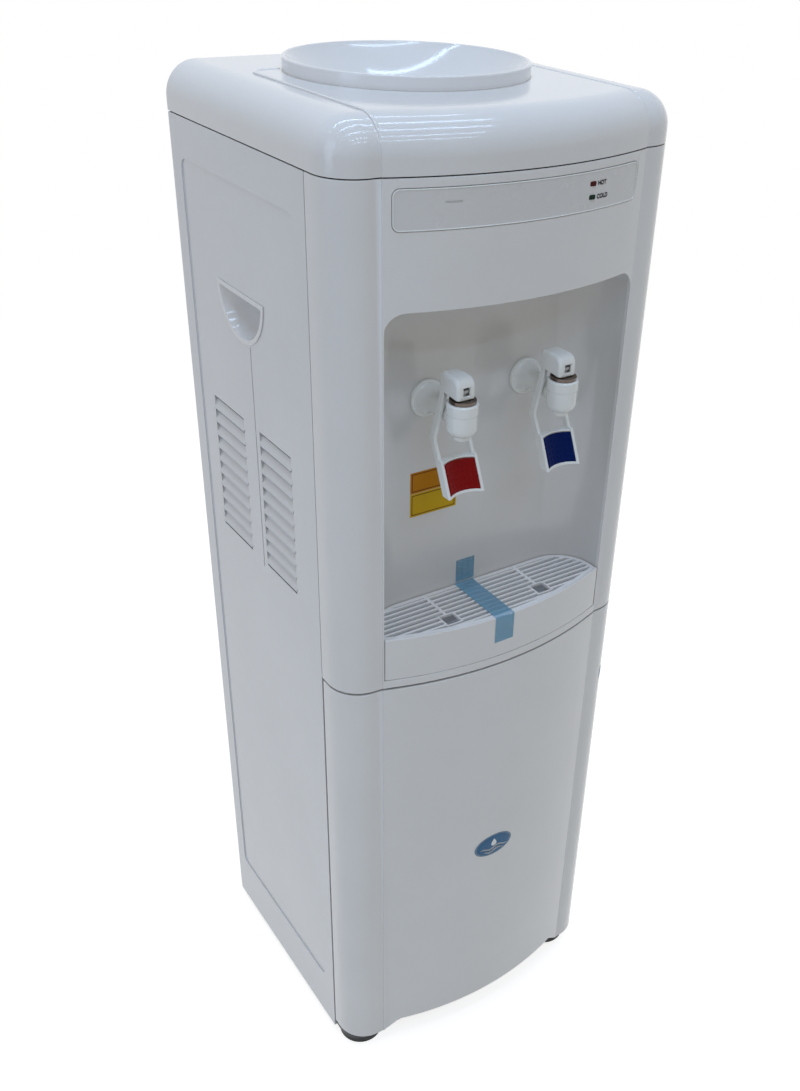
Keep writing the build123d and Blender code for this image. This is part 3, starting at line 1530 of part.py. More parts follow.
# Hot tap: valve body with its wall flange and tail
tap_y = front_y - tap_forward
hot_x = -tap_half_spacing
body_plane = Plane(origin=(hot_x, tap_y, 0), x_dir=(1, 0, 0), z_dir=(0, -1, 0))
pipe_plane = Plane(origin=(hot_x, 0, tap_level), x_dir=(0, 1, 0), z_dir=(1, 0, 0))
with BuildPart() as hot_tap_body:
    with BuildSketch(body_plane):
        with BuildLine():
            Polyline(
                (0, nozzle_bottom),
                (nozzle_radius, nozzle_bottom),
                (nozzle_radius, tap_taper_bottom),
                (tap_taper_radius, tap_taper_bottom),
            )
            RadiusArc(
                (tap_taper_radius, tap_taper_bottom),
                (tap_radius - tap_skirt_step, tap_taper_top),
                -tap_bowl_radius,
            )
            Polyline(
                (tap_radius - tap_skirt_step, tap_taper_top),
                (tap_radius - tap_skirt_step, tap_skirt_bottom),
                (tap_radius, tap_skirt_bottom + tap_skirt_step),
                (tap_radius, tap_top - tap_rim_chamfer),
                (tap_radius - tap_rim_chamfer, tap_top),
                (0, tap_top),
                (0, nozzle_bottom),
            )
        make_face()
    revolve(axis=Axis((hot_x, tap_y, 0), (0, 0, 1)))
    with BuildSketch(pipe_plane):
        with BuildLine():
            Line((tap_y, 0), (tap_y, pipe_radius))
            Line((tap_y, pipe_radius), (alcove_back_y - flange_edge - flange_flare, pipe_radius))
            Bezier(
                (alcove_back_y - flange_edge - flange_flare, pipe_radius),
                (alcove_back_y - flange_edge - flange_flare / 2, pipe_radius),
                (alcove_back_y - flange_edge, (pipe_radius + flange_radius) / 2),
                (alcove_back_y - flange_edge, flange_radius),
            )
            Polyline(
                (alcove_back_y - flange_edge, flange_radius),
                (alcove_back_y, flange_radius),
                (alcove_back_y, pipe_radius),
                (tail_y, pipe_radius),
                (tail_y, 0),
                (tap_y, 0),
            )
        make_face()
    revolve(axis=Axis((hot_x, 0, tap_level), (0, 1, 0)))
    # valve chamber, outlet bore and inlet bore
    with BuildSketch(Plane.XY.offset(chamber_bottom)):
        with Locations((hot_x, tap_y)):
            Circle(chamber_radius)
    extrude(amount=tap_top - chamber_bottom, mode=Mode.SUBTRACT)
    with BuildSketch(Plane.XY.offset(nozzle_bottom)):
        with Locations((hot_x, tap_y)):
            Circle(nozzle_bore_radius)
    extrude(amount=chamber_bottom - nozzle_bottom, mode=Mode.SUBTRACT)
    with BuildSketch(Plane.XZ.offset(-tail_y)):
        with Locations((hot_x, tap_level)):
            Circle(tube_radius - tube_wall)
    extrude(amount=tail_y - tap_y, mode=Mode.SUBTRACT)

hot_tap_body.part.label = "hot_tap_body"
export_step(hot_tap_body.part, "parts/hot_tap_body.step")

with BuildPart() as hot_tap_nut:
    with BuildSketch(Plane.XZ.offset(-alcove_back_y - moulding_wall)):
        with Locations((hot_x, tap_level)):
            RegularPolygon(nut_radius, 6)
            Circle(pipe_radius, mode=Mode.SUBTRACT)
    extrude(amount=-nut_thickness)

hot_tap_nut.part.label = "hot_tap_nut"
export_step(hot_tap_nut.part, "parts/hot_tap_nut.step")

with BuildPart() as hot_tap_ring:
    with BuildSketch(Plane.XY.offset(tap_top)):
        with Locations((hot_x, tap_y)):
            Circle(ring_radius)
            Circle(ring_bore_radius, mode=Mode.SUBTRACT)
    extrude(amount=ring_height)

hot_tap_ring.part.label = "hot_tap_ring"
export_step(hot_tap_ring.part, "parts/hot_tap_ring.step")

# Plunger: stem with a soft seat below and a head inside the cap
with BuildPart() as hot_tap_plunger:
    seat_z = chamber_bottom + stem_gap
    with BuildSketch(Plane.XY.offset(seat_z)):
        with Locations((hot_x, tap_y)):
            Circle(stem_seat_radius)
    extrude(amount=stem_seat_height)
    with BuildSketch(Plane.XY.offset(seat_z)):
        with Locations((hot_x, tap_y)):
            Circle(stem_radius)
    extrude(amount=stem_top - seat_z)
    with BuildSketch(Plane.XY.offset(stem_top - stem_head_height)):
        with Locations((hot_x, tap_y)):
            Circle(stem_head_radius)
    extrude(amount=stem_head_height)

hot_tap_plunger.part.label = "hot_tap_plunger"
export_step(hot_tap_plunger.part, "parts/hot_tap_plunger.step")

# Paddle's own plane: x across, y up along the paddle, z out of its face
tilt = math.radians(paddle_angle)
paddle_plane = Plane(
    origin=(hot_x, front_y - paddle_centre_front, paddle_centre_level),
    x_dir=(1, 0, 0),
    z_dir=(0, -math.cos(tilt), math.sin(tilt)),
)

# Curved spaces in front of the paddle and the pad that fills the deeper one
with BuildPart() as paddle_hollow:
    with BuildSketch(Plane(origin=paddle_plane.origin, x_dir=(1, 0, 0), z_dir=paddle_plane.y_dir)):
        with Locations((0, -pad_curve)):
            Circle(pad_curve - pad_thickness + pad_proud)
    extrude(amount=paddle_length, both=True)

with BuildPart() as pad_hollow:
    with BuildSketch(Plane(origin=paddle_plane.origin, x_dir=(1, 0, 0), z_dir=paddle_plane.y_dir)):
        with Locations((0, -pad_curve)):
            Circle(pad_curve)
        Rectangle(2 * (pad_half + pad_edge_gap), 2 * pad_curve, mode=Mode.INTERSECT)
    extrude(amount=paddle_length, both=True)
    with BuildSketch(Plane.XY.offset(paddle_centre_level - pad_bottom_drop - pad_edge_gap)):
        with Locations((hot_x, front_y)):
            Rectangle(2 * paddle_length, 2 * paddle_length + 2 * pad_curve)
    extrude(amount=pad_top_rise + pad_bottom_drop + 2 * pad_edge_gap, mode=Mode.INTERSECT)

with BuildPart() as hot_tap_pad:
    with BuildSketch(Plane(origin=paddle_plane.origin, x_dir=(1, 0, 0), z_dir=paddle_plane.y_dir)):
        with Locations((0, -pad_curve)):
            Circle(pad_curve)
            Circle(pad_curve - pad_thickness, mode=Mode.SUBTRACT)
        with Locations((0, -pad_curve / 2)):
            Rectangle(2 * pad_half, pad_curve * 2, mode=Mode.INTERSECT)
        with Locations((0, -pad_curve)):
            Rectangle(2 * pad_curve, pad_curve, align=(Align.CENTER, Align.MAX), mode=Mode.SUBTRACT)
    extrude(amount=paddle_length, both=True)
    with BuildSketch(Plane.XY.offset(paddle_centre_level - pad_bottom_drop)):
        with Locations((hot_x, front_y)):
            Rectangle(2 * paddle_length, 2 * paddle_length + 2 * pad_curve)
    extrude(amount=pad_top_rise + pad_bottom_drop, mode=Mode.INTERSECT)

hot_tap_pad.part.label = "hot_tap_pad"
export_step(hot_tap_pad.part, "parts/hot_tap_pad.step")

# Lever: cap over the ring, two arms round the pipe and the paddle's frame
arm_inner = cap_half - arm_wall
paddle_inner = paddle_half - arm_wall
paddle_low_level = paddle_centre_level - paddle_length
side_plane = Plane(origin=(hot_x, front_y, 0), x_dir=(0, 1, 0), z_dir=(1, 0, 0))
front_plane = Plane(origin=(hot_x, front_y, 0), x_dir=(1, 0, 0), z_dir=(0, -1, 0))
cap_bottom_z = tap_top + ring_height + cap_clear


def paddle_point(out, up):
    """Point of the side view at a distance out of the paddle's face and up along it."""
    across = -paddle_centre_front - out * math.cos(tilt) + up * math.sin(tilt)
    return (across, paddle_centre_level + out * math.sin(tilt) + up * math.cos(tilt))


def level_point(out, rise):
    """Point of the side view at a distance out of the paddle's face and a height over its centre."""
    return paddle_point(out, (rise - out * math.sin(tilt)) / math.cos(tilt))


with BuildPart() as lever_cap:
    with BuildSketch(side_plane):
        with BuildLine():
            Polyline(
                (-cap_front, cap_bottom_z),
                (cap_rear, cap_bottom_z + cap_bottom_rise),
                (cap_rear, cap_top),
                (-cap_front, cap_top),
                close=True,
            )
        make_face()
    extrude(amount=cap_half, both=True)
    fillet(lever_cap.faces().sort_by(Axis.Z)[-1].edges().sort_by(Axis.Y)[0], cap_front_round)
    fillet(lever_cap.edges().filter_by(lambda e: e.center().Z > cap_bottom_z + cap_bottom_rise + cap_clear), cap_round)
    # round lip that the lever rocks on
    fillet(lever_cap.edges().group_by(Axis.Z)[0].sort_by(Axis.Y)[0], cap_lip_round)

with BuildPart() as hot_tap_lever:
    with BuildSketch(front_plane):
        with BuildLine():
            Polyline(
                (-cap_half, arm_top),
                (-cap_half, arm_flare_top),
                (-paddle_half, knee_level),
                (-paddle_half, paddle_low_level),
                (paddle_half, paddle_low_level),
                (paddle_half, knee_level),
                (cap_half, arm_flare_top),
                (cap_half, arm_top),
                (arm_inner, arm_top),
                (arm_inner, arm_flare_top),
                (paddle_inner, knee_level),
                (paddle_inner, paddle_top_level),
                (-paddle_inner, paddle_top_level),
                (-paddle_inner, knee_level),
                (-arm_inner, arm_flare_top),
                (-arm_inner, arm_top),
                close=True,
            )
        make_face()
    extrude(amount=2 * cap_rear, both=True)
    with BuildSketch(side_plane):
        with BuildLine():
            Polyline(
                (arm_front, arm_top),
                (arm_rear, arm_top),
                (arm_rear, knee_level),
                paddle_point(-paddle_back, paddle_length / 2),
                level_point(-paddle_back, -paddle_bottom_drop),
                level_point(paddle_front, -paddle_bottom_drop),
                paddle_point(paddle_front, paddle_face_rise),
                paddle_point(paddle_shoulder, paddle_length / 2),
                (arm_front, knee_front_level),
                close=True,
            )
        make_face()
    extrude(amount=2 * paddle_half, both=True, mode=Mode.INTERSECT)
    add(paddle_hollow.part, mode=Mode.SUBTRACT)
    add(pad_hollow.part, mode=Mode.SUBTRACT)
    add(lever_cap.part)
    # space over the ring for the stem's head
    with BuildSketch(Plane.XY.offset(cap_bottom_z)):
        with Locations((hot_x, front_y + (cap_rear - cap_front) / 2)):
            Rectangle(2 * (cap_half - cap_side_wall), cap_front + cap_rear - 2 * cap_front_wall)
    extrude(amount=cap_top - cap_roof - cap_bottom_z, mode=Mode.SUBTRACT)
    with BuildSketch(front_plane):
        with Locations((0, cap_hole_level)):
            Rectangle(cap_hole, cap_hole_height)
    extrude(amount=cap_front + overrun, mode=Mode.SUBTRACT)

hot_tap_lever.part.label = "hot_tap_lever"
export_step(hot_tap_lever.part, "parts/hot_tap_lever.step")

# Cold tap: the same pieces one spacing to the right
cold_shift = (2 * tap_half_spacing, 0, 0)

with BuildPart() as cold_tap_body:
    with Locations(cold_shift):
        add(hot_tap_body.part)

cold_tap_body.part.label = "cold_tap_body"
export_step(cold_tap_body.part, "parts/cold_tap_body.step")

with BuildPart() as cold_tap_nut:
    with Locations(cold_shift):
        add(hot_tap_nut.part)

cold_tap_nut.part.label = "cold_tap_nut"
export_step(cold_tap_nut.part, "parts/cold_tap_nut.step")

with BuildPart() as cold_tap_ring:
    with Locations(cold_shift):
        add(hot_tap_ring.part)

cold_tap_ring.part.label = "cold_tap_ring"
export_step(cold_tap_ring.part, "parts/cold_tap_ring.step")

with BuildPart() as cold_tap_plunger:
    with Locations(cold_shift):
        add(hot_tap_plunger.part)

cold_tap_plunger.part.label = "cold_tap_plunger"
export_step(cold_tap_plunger.part, "parts/cold_tap_plunger.step")

with BuildPart() as cold_tap_pad:
    with Locations(cold_shift):
        add(hot_tap_pad.part)

cold_tap_pad.part.label = "cold_tap_pad"
export_step(cold_tap_pad.part, "parts/cold_tap_pad.step")

with BuildPart() as cold_tap_lever:
    with Locations(cold_shift):
        add(hot_tap_lever.part)

cold_tap_lever.part.label = "cold_tap_lever"
export_step(cold_tap_lever.part, "parts/cold_tap_lever.step")
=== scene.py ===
"""Looks of a floor-standing hot and cold water dispenser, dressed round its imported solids.

The frame is that of the solids: X to the right as one faces the taps, Y to the back, Z up,
with the origin on the floor. Forms are shaped in millimetres and scaled to metres at the end.
"""

import logging
import math
from dataclasses import dataclass, field
from enum import Enum
from typing import Callable, Optional, Sequence

import bmesh
import bpy
from bmesh.types import BMEdge, BMesh, BMVert
from mathutils import Matrix, Vector


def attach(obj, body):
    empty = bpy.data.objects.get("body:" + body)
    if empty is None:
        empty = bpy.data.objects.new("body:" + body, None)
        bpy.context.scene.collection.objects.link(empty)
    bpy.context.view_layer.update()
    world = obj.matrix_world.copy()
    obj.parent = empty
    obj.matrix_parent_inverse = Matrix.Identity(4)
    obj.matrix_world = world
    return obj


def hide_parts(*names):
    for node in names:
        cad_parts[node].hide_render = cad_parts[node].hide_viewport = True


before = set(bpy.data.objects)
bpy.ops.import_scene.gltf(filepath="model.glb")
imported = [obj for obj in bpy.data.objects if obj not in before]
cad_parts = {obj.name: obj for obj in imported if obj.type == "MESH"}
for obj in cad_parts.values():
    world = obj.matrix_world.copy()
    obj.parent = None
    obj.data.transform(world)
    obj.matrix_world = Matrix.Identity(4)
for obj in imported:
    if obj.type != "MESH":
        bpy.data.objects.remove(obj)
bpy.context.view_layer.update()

MM = 0.001
PHOTO_SIZE = (800, 1091)
# warm tint of the painted shade in seams and corners
CREASE_SHADE_TINT = (0.99, 0.97, 0.93)
MEETING_REACH = 0.004
FLAT_TURN = 0.3
HARD_TURN = 28.0
UP, BACK = Vector((0, 0, 1)), Vector((0, 1, 0))
log = logging.getLogger("dispenser")

Colour = tuple[float, float, float]
Point = tuple[float, float]
Socket = bpy.types.NodeSocket


class Body(str, Enum):
    """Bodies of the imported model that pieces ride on."""

    CABINET = "cabinet"
    DOOR = "door"
    TRAY = "tray"
    GRILLE = "grille"
    COLLAR = "collar"
    HOT_LEVER = "hot_lever"
    COLD_LEVER = "cold_lever"


class Side(Enum):
    """Left or right half of the cabinet, with the sign of its X."""

    LEFT = -1
    RIGHT = 1


# ---------------------------------------------------------------- finishes


class NodeBench:
    """One material's node tree and short calls that lay nodes in it."""

    def __init__(self, name: str) -> None:
        """Starts a material with a principled shader and object coordinates.

        Args:
            name: Name of the new material.
        """
        self.material = bpy.data.materials.new(name)
        self.material.use_nodes = True
        self.tree = self.material.node_tree
        self.tree.nodes.clear()
        self.shader = self.tree.nodes.new("ShaderNodeBsdfPrincipled")
        self.output = self.tree.nodes.new("ShaderNodeOutputMaterial")
        self.tree.links.new(self.shader.outputs[0], self.output.inputs["Surface"])
        self.place = self.tree.nodes.new("ShaderNodeTexCoord").outputs["Object"]

    def node(self, kind: str, **settings: object) -> bpy.types.Node:
        """Adds a node and sets its properties.

        Args:
            kind: Node type without the leading ShaderNode.
            **settings: Properties of the node.

        Returns:
            The new node.
        """
        made = self.tree.nodes.new("ShaderNode" + kind)
        for key, value in settings.items():
            setattr(made, key, value)
        return made

    def link(self, source: Socket, target: Socket) -> None:
        """Joins two sockets."""
        self.tree.links.new(source, target)

    def stretched(self, scale: tuple[float, float, float]) -> Socket:
        """Object coordinates stretched by scale, for grain that runs one way."""
        mapping = self.node("Mapping")
        mapping.inputs["Scale"].default_value = scale
        self.link(self.place, mapping.inputs["Vector"])
        return mapping.outputs[0]

    def noise(
        self, scale: float, detail: float = 2.0, rough: float = 0.5, place: Optional[Socket] = None
    ) -> Socket:
        """Lays a noise texture.

        Args:
            scale: Features per metre.
            detail: Octaves.
            rough: Weight of the finer octaves.
            place: Coordinates, if not the object's own.

        Returns:
            The noise value, about 0.3 to 0.7.
        """
        made = self.node("TexNoise")
        made.inputs["Scale"].default_value = scale
        made.inputs["Detail"].default_value = detail
        made.inputs["Roughness"].default_value = rough
        self.link(place or self.place, made.inputs["Vector"])
        return made.outputs[0]

    def cells(self, scale: float, feature: str = "F1") -> Socket:
        """Distance value of a Voronoi texture at a number of cells per metre."""
        made = self.node("TexVoronoi", feature=feature)
        made.inputs["Scale"].default_value = scale
        self.link(self.place, made.inputs["Vector"])
        return made.outputs["Distance"]

    def span(
        self, value: Socket, low: float, high: float, start: float = 0.3, end: float = 0.7
    ) -> Socket:
        """Maps start to end on low to high, clamped, and returns the result."""
        made = self.node("MapRange")
        limits = {"From Min": start, "From Max": end, "To Min": low, "To Max": high}
        for key, number in limits.items():
            made.inputs[key].default_value = number
        self.link(value, made.inputs["Value"])
        return made.outputs[0]

    def times(self, first: Socket, second: float | Socket) -> Socket:
        """Multiplies a value by a number or another value and returns the result."""
        made = self.node("Math", operation="MULTIPLY")
        self.link(first, made.inputs[0])
        if isinstance(second, bpy.types.NodeSocket):
            self.link(second, made.inputs[1])
        else:
            made.inputs[1].default_value = second
        return made.outputs[0]

    def blend(self, share: Socket, first: Colour, second: Colour | Socket) -> Socket:
        """Mixes from first to second by share and returns the colour."""
        made = self.node("Mix", data_type="RGBA")
        made.inputs[6].default_value = (*first, 1.0)
        if isinstance(second, bpy.types.NodeSocket):
            self.link(second, made.inputs[7])
        else:
            made.inputs[7].default_value = (*second, 1.0)
        self.link(share, made.inputs[0])
        return made.outputs[2]

    def raise_by(self, height: Socket, distance: float, base: Optional[Socket] = None) -> Socket:
        """Turns a height value into a normal by a bump of distance metres."""
        made = self.node("Bump")
        made.inputs["Distance"].default_value = distance
        self.link(height, made.inputs["Height"])
        if base is not None:
            self.link(base, made.inputs["Normal"])
        return made.outputs[0]

    def creases(self, reach: float) -> Socket:
        """Open share of the surroundings within reach metres: low in seams and corners."""
        made = self.node("AmbientOcclusion", samples=6)
        made.inputs["Distance"].default_value = reach
        return made.outputs["AO"]

    def put(self, **values: object) -> None:
        """Sets the shader's inputs: a socket is linked, a number or colour is set on it."""
        for key, value in values.items():
            socket = self.shader.inputs[key.replace("_", " ").title().replace("Ior", "IOR")]
            if isinstance(value, bpy.types.NodeSocket):
                self.link(value, socket)
            elif isinstance(value, tuple):
                socket.default_value = (*value, 1.0)
            else:
                socket.default_value = value


@dataclass(frozen=True)
class Finish:
    """Name and colour that every finish has."""

    name: str
    colour: Colour

    def lay(self, bench: NodeBench) -> None:
        """Lays the finish's nodes; each kind of finish has its own."""
        raise NotImplementedError

    def material(self) -> bpy.types.Material:
        """Material of this finish, made the first time it is asked for.

        Returns:
            The material.
        """
        look = "look_" + self.name
        found = bpy.data.materials.get(look)
        if found:
            return found
        bench = NodeBench(look)
        self.lay(bench)
        return bench.material


@dataclass(frozen=True)
class Moulded(Finish):
    """Injection-moulded plastic: faint flow clouds, uneven gloss, orange peel, and painted shade in
    seams and corners, tinted warm like dust.
    """

    gloss: float = 0.15
    gloss_swing: float = 0.06
    cloud: float = 0.02
    peel: float = 0.00004
    peel_scale: float = 260.0
    wave: float = 0.0004
    # share by which the painted shade darkens seams and corners
    crease_shade: float = 0.16
    mirror: float = 0.5

    def lay(self, bench: NodeBench) -> None:
        """Lays clouded colour, smudged roughness and two bumps."""
        shade = tuple(c * (1 - 2 * self.cloud) for c in self.colour)
        cloud = bench.blend(bench.span(bench.noise(9, 4, 0.6), 0, 1), shade, self.colour)
        # painted shade: the colour darkens towards a warm, dust-tinted copy where ambient occlusion
        # finds seams and corners
        crease_shade_colour = tuple(c * (1 - self.crease_shade) * tint for c, tint in zip(self.colour, CREASE_SHADE_TINT))
        opened = bench.span(bench.creases(0.006), 0, 1, 0.15, 0.85)
        colour = bench.blend(opened, crease_shade_colour, cloud)
        smudge = bench.span(bench.noise(16, 5, 0.6), self.gloss, self.gloss + self.gloss_swing)
        wavy = bench.raise_by(bench.noise(7, 1), self.wave)
        peel = bench.raise_by(bench.noise(self.peel_scale, 2), self.peel, base=wavy)
        bench.put(base_color=colour, roughness=smudge, normal=peel, ior=1.5)
        bench.put(specular_ior_level=self.mirror)


@dataclass(frozen=True)
class Rubber(Finish):
    """Matt rubber with a fine grain and chalky rubbed patches."""

    gloss: float = 0.62
    grain: float = 900.0

    def lay(self, bench: NodeBench) -> None:
        """Lays chalky colour and grain."""
        chalk = tuple(min(1.0, c * 1.5 + 0.02) for c in self.colour)
        rub = bench.span(bench.noise(70, 4, 0.7), 0, 0.7, 0.5, 0.75)
        bench.put(base_color=bench.blend(rub, self.colour, chalk), ior=1.5)
        bench.put(roughness=bench.span(bench.noise(140, 3), self.gloss, self.gloss + 0.2))
        bench.put(normal=bench.raise_by(bench.noise(self.grain, 2), 0.00012))


@dataclass(frozen=True)
class Metal(Finish):
    """Bare or plated metal: rolled grain, or spangle where it is zinc-coated."""

    gloss: float = 0.28
    grain: tuple[float, float, float] = (30.0, 30.0, 900.0)
    grain_depth: float = 0.00003
    spangle: float = 0.0

    def lay(self, bench: NodeBench) -> None:
        """Lays streaked or spangled colour, roughness and bump."""
        dark = tuple(c * 0.82 for c in self.colour)
        streak = bench.noise(1.0, 3, 0.6, bench.stretched(self.grain))
        share = bench.span(streak, 0, 1)
        if self.spangle:
            share = bench.span(bench.cells(self.spangle), 0, 1, 0.1, 0.8)
        bench.put(base_color=bench.blend(share, dark, self.colour), metallic=1.0)
        bench.put(roughness=bench.span(share, self.gloss, self.gloss + 0.14, 0.0, 1.0))
        bench.put(normal=bench.raise_by(streak, self.grain_depth))


@dataclass(frozen=True)
class Painted(Finish):
    """Powder-coated sheet: fine pebble and faint handling marks."""

    gloss: float = 0.38
    pebble: float = 520.0

    def lay(self, bench: NodeBench) -> None:
        """Lays pebbled bump, slightly uneven colour and painted shade in creases."""
        shade = tuple(c * 0.93 for c in self.colour)
        # painted shade: seams and corners found by ambient occlusion are darkened to this colour
        crease_shade_colour = tuple(c * 0.8 for c in self.colour)
        cloud = bench.blend(bench.span(bench.noise(14, 5, 0.65), 0, 1), shade, self.colour)
        opened = bench.span(bench.creases(0.008), 0, 1, 0.2, 0.85)
        bench.put(base_color=bench.blend(opened, crease_shade_colour, cloud))
        bench.put(roughness=bench.span(bench.noise(45, 4), self.gloss, self.gloss + 0.15))
        bench.put(normal=bench.raise_by(bench.noise(self.pebble, 2), 0.00009), ior=1.5)


@dataclass(frozen=True)
class BeadFoam(Finish):
    """Expanded foam: pressed beads with darker joints."""

    beads: float = 190.0

    def lay(self, bench: NodeBench) -> None:
        """Lays bead cells in colour and bump."""
        joint = tuple(c * 0.72 for c in self.colour)
        edge = bench.cells(self.beads, "DISTANCE_TO_EDGE")
        bench.put(base_color=bench.blend(bench.span(edge, 0, 1, 0.0, 0.16), joint, self.colour))
        bench.put(roughness=bench.span(bench.noise(300, 2), 0.55, 0.75))
        bench.put(normal=bench.raise_by(bench.span(edge, 0, 1, 0.0, 0.25), 0.0005))


@dataclass(frozen=True)
class SoftTube(Finish):
    """Milky silicone: cloudy, half clear and slightly sticky with dust."""

    clear: float = 0.35

    def lay(self, bench: NodeBench) -> None:
        """Lays cloudy colour and a partly clear shader."""
        cloudy = tuple(c * 0.86 for c in self.colour)
        bench.put(base_color=bench.blend(bench.span(bench.noise(90, 3), 0, 1), cloudy, self.colour))
        bench.put(roughness=bench.span(bench.noise(160, 3), 0.3, 0.5), ior=1.41)
        bench.put(normal=bench.raise_by(bench.noise(400, 2), 0.00005))
        bench.put(transmission_weight=self.clear)


@dataclass(frozen=True)
class Lens(Finish):
    """Tinted lamp lens with a fine moulded texture inside."""

    def lay(self, bench: NodeBench) -> None:
        """Lays a deep tint with bright flecks."""
        bright = tuple(min(1.0, c * 1.8 + 0.002) for c in self.colour)
        flecks = bench.span(bench.cells(1500), 1, 0, 0.0, 0.5)
        bench.put(base_color=bench.blend(flecks, self.colour, bright), ior=1.49, coat_weight=0.03)
        bench.put(specular_ior_level=0.1)
        bench.put(roughness=bench.span(bench.noise(500, 2), 0.08, 0.16))
        bench.put(normal=bench.raise_by(bench.noise(900, 1), 0.00004))


@dataclass(frozen=True)
class Board(Finish):
    """Circuit board: solder mask with copper tracks showing through as paler lines."""

    def lay(self, bench: NodeBench) -> None:
        """Lays stepped tracks in colour and bump."""
        made = bench.node("TexBrick")
        made.inputs["Scale"].default_value = 130
        made.inputs["Mortar Size"].default_value = 0.05
        bench.link(bench.stretched((1.0, 0.0, 1.0)), made.inputs["Vector"])
        track = tuple(c * 2.1 + 0.02 for c in self.colour)
        share = bench.span(made.outputs["Fac"], 0, 1, 0.0, 1.0)
        bench.put(base_color=bench.blend(share, self.colour, track), coat_weight=0.4)
        bench.put(roughness=bench.span(bench.noise(200, 2), 0.25, 0.4))
        bench.put(normal=bench.raise_by(share, 0.00004))


@dataclass(frozen=True)
class Film(Finish):
    """Thin stuck-on film: tape or printed vinyl with trapped air and finger gloss."""

    gloss: float = 0.28
    bubbles: float = 60.0
    fade: float = 0.9
    cover: float = 1.0
    mirror: float = 0.5

    def lay(self, bench: NodeBench) -> None:
        """Lays colour that varies over trapped air, and ripples."""
        pale = tuple(c * self.fade for c in self.colour)
        air = bench.noise(self.bubbles, 3, 0.55)
        bench.put(base_color=bench.blend(bench.span(air, 0, 1, 0.35, 0.65), pale, self.colour))
        bench.put(roughness=bench.span(bench.noise(120, 3), self.gloss, self.gloss + 0.14))
        bench.put(normal=bench.raise_by(air, 0.00025), alpha=self.cover)
        bench.put(specular_ior_level=self.mirror, ior=1.48)


PAD_GRIP = {"gloss": 0.32, "peel_scale": 420, "wave": 0.0, "crease_shade": 0.3}
WHITE_SHELL = Moulded("white_shell", (0.85, 0.85, 0.86), gloss=0.08, gloss_swing=0.05)
# painted shade and cool light: the side panels are of the front's white plastic, but take a darker,
# bluer copy of it
SIDE_SHADED_SHELL = Moulded("side_shaded_shell", (0.77, 0.78, 0.81), gloss=0.14, wave=0.0011)
# painted shade: the alcove is of the front's white plastic, but takes a darker copy of it
ALCOVE_SHADED_SHELL = Moulded("alcove_shaded_shell", (0.75, 0.75, 0.755), gloss=0.17)
STRIP_SHELL = Moulded("strip_shell", (0.77, 0.77, 0.78), gloss=0.24)
TAP_SHELL = Moulded("tap_shell", (0.92, 0.95, 0.95), gloss=0.12, wave=0.0001, peel_scale=500)
LINER_SHELL = Moulded("liner_shell", (0.72, 0.72, 0.72), gloss=0.4, peel=0.00009)
GRILLE_SHELL = Moulded("grille_shell", (0.93, 0.93, 0.94), gloss=0.16, wave=0.0001)
BLACK_SHELL = Moulded("black_shell", (0.018, 0.018, 0.02), gloss=0.38, peel=0.00009, crease_shade=0.0)
RED_PAD = Moulded("red_pad", (0.255, 0.001, 0.002), mirror=0.11, **PAD_GRIP)
BLUE_PAD = Moulded("blue_pad", (0.001, 0.012, 0.105), mirror=0.05, **PAD_GRIP)
RED_ROCKER = Moulded("red_rocker", (0.42, 0.016, 0.014), gloss=0.25, wave=0.0)
GREEN_ROCKER = Moulded("green_rocker", (0.02, 0.22, 0.06), gloss=0.25, wave=0.0)
CERAMIC = Moulded("ceramic", (0.78, 0.77, 0.73), gloss=0.5, peel=0.00006, wave=0.0)
FOOT_RUBBER = Rubber("foot_rubber", (0.022, 0.022, 0.023))
# painted shadow: near-black finish of the strips set in the joints, where there is only shade
SEAM_SHADOW = Rubber("seam_shadow", (0.010, 0.010, 0.011), gloss=0.7)
SEAL_RUBBER = Rubber("seal_rubber", (0.44, 0.44, 0.45), gloss=0.5)
STAINLESS = Metal("stainless", (0.62, 0.62, 0.60))
# painted reflection: the ring is polished steel, given a dark brown colour that stands in for the
# dark reflections it shows
DARKENED_RING_STEEL = Metal("ring_steel", (0.155, 0.125, 0.108), gloss=0.2, grain=(60.0, 60.0, 60.0))
PIN_STEEL = Metal("pin_steel", (0.55, 0.55, 0.54), gloss=0.25)
SCREW_STEEL = Metal("screw_steel", (0.50, 0.50, 0.49), gloss=0.3, grain=(300.0, 300.0, 300.0))
ALUMINIUM = Metal("aluminium", (0.72, 0.73, 0.74), gloss=0.3)
ZINC = Metal("zinc", (0.58, 0.60, 0.61), gloss=0.34, spangle=70.0)
REAR_SHEET = Painted("rear_sheet", (0.56, 0.57, 0.60))
FOAM = BeadFoam("foam", (0.76, 0.75, 0.70))
JACKET_FOAM = BeadFoam("jacket_foam", (0.60, 0.56, 0.44), beads=260.0)
TUBE = SoftTube("silicone_tube", (0.78, 0.78, 0.76))
RED_LENS = Lens("red_lens", (0.075, 0.002, 0.003))
GREEN_LENS = Lens("green_lens", (0.003, 0.026, 0.013))
BOARD = Board("board", (0.02, 0.13, 0.05))
TAPE = Film("transit_tape", (0.20, 0.53, 0.78), fade=0.92, cover=0.38, mirror=0.4)
LABEL_AMBER = Film("label_amber", (0.56, 0.22, 0.006), gloss=0.34, bubbles=25.0, mirror=0.1)
LABEL_YELLOW = Film("label_yellow", (0.66, 0.42, 0.010), gloss=0.34, bubbles=25.0, mirror=0.15)
LABEL_RULE = Film("label_rule", (0.10, 0.022, 0.008), gloss=0.4, bubbles=25.0, mirror=0.1)
PRINT_INK = Film("print_ink", (0.008, 0.008, 0.012), gloss=0.5, mirror=0.1)
PALE_INK = Film("pale_ink", (0.92, 0.93, 0.94), gloss=0.3)
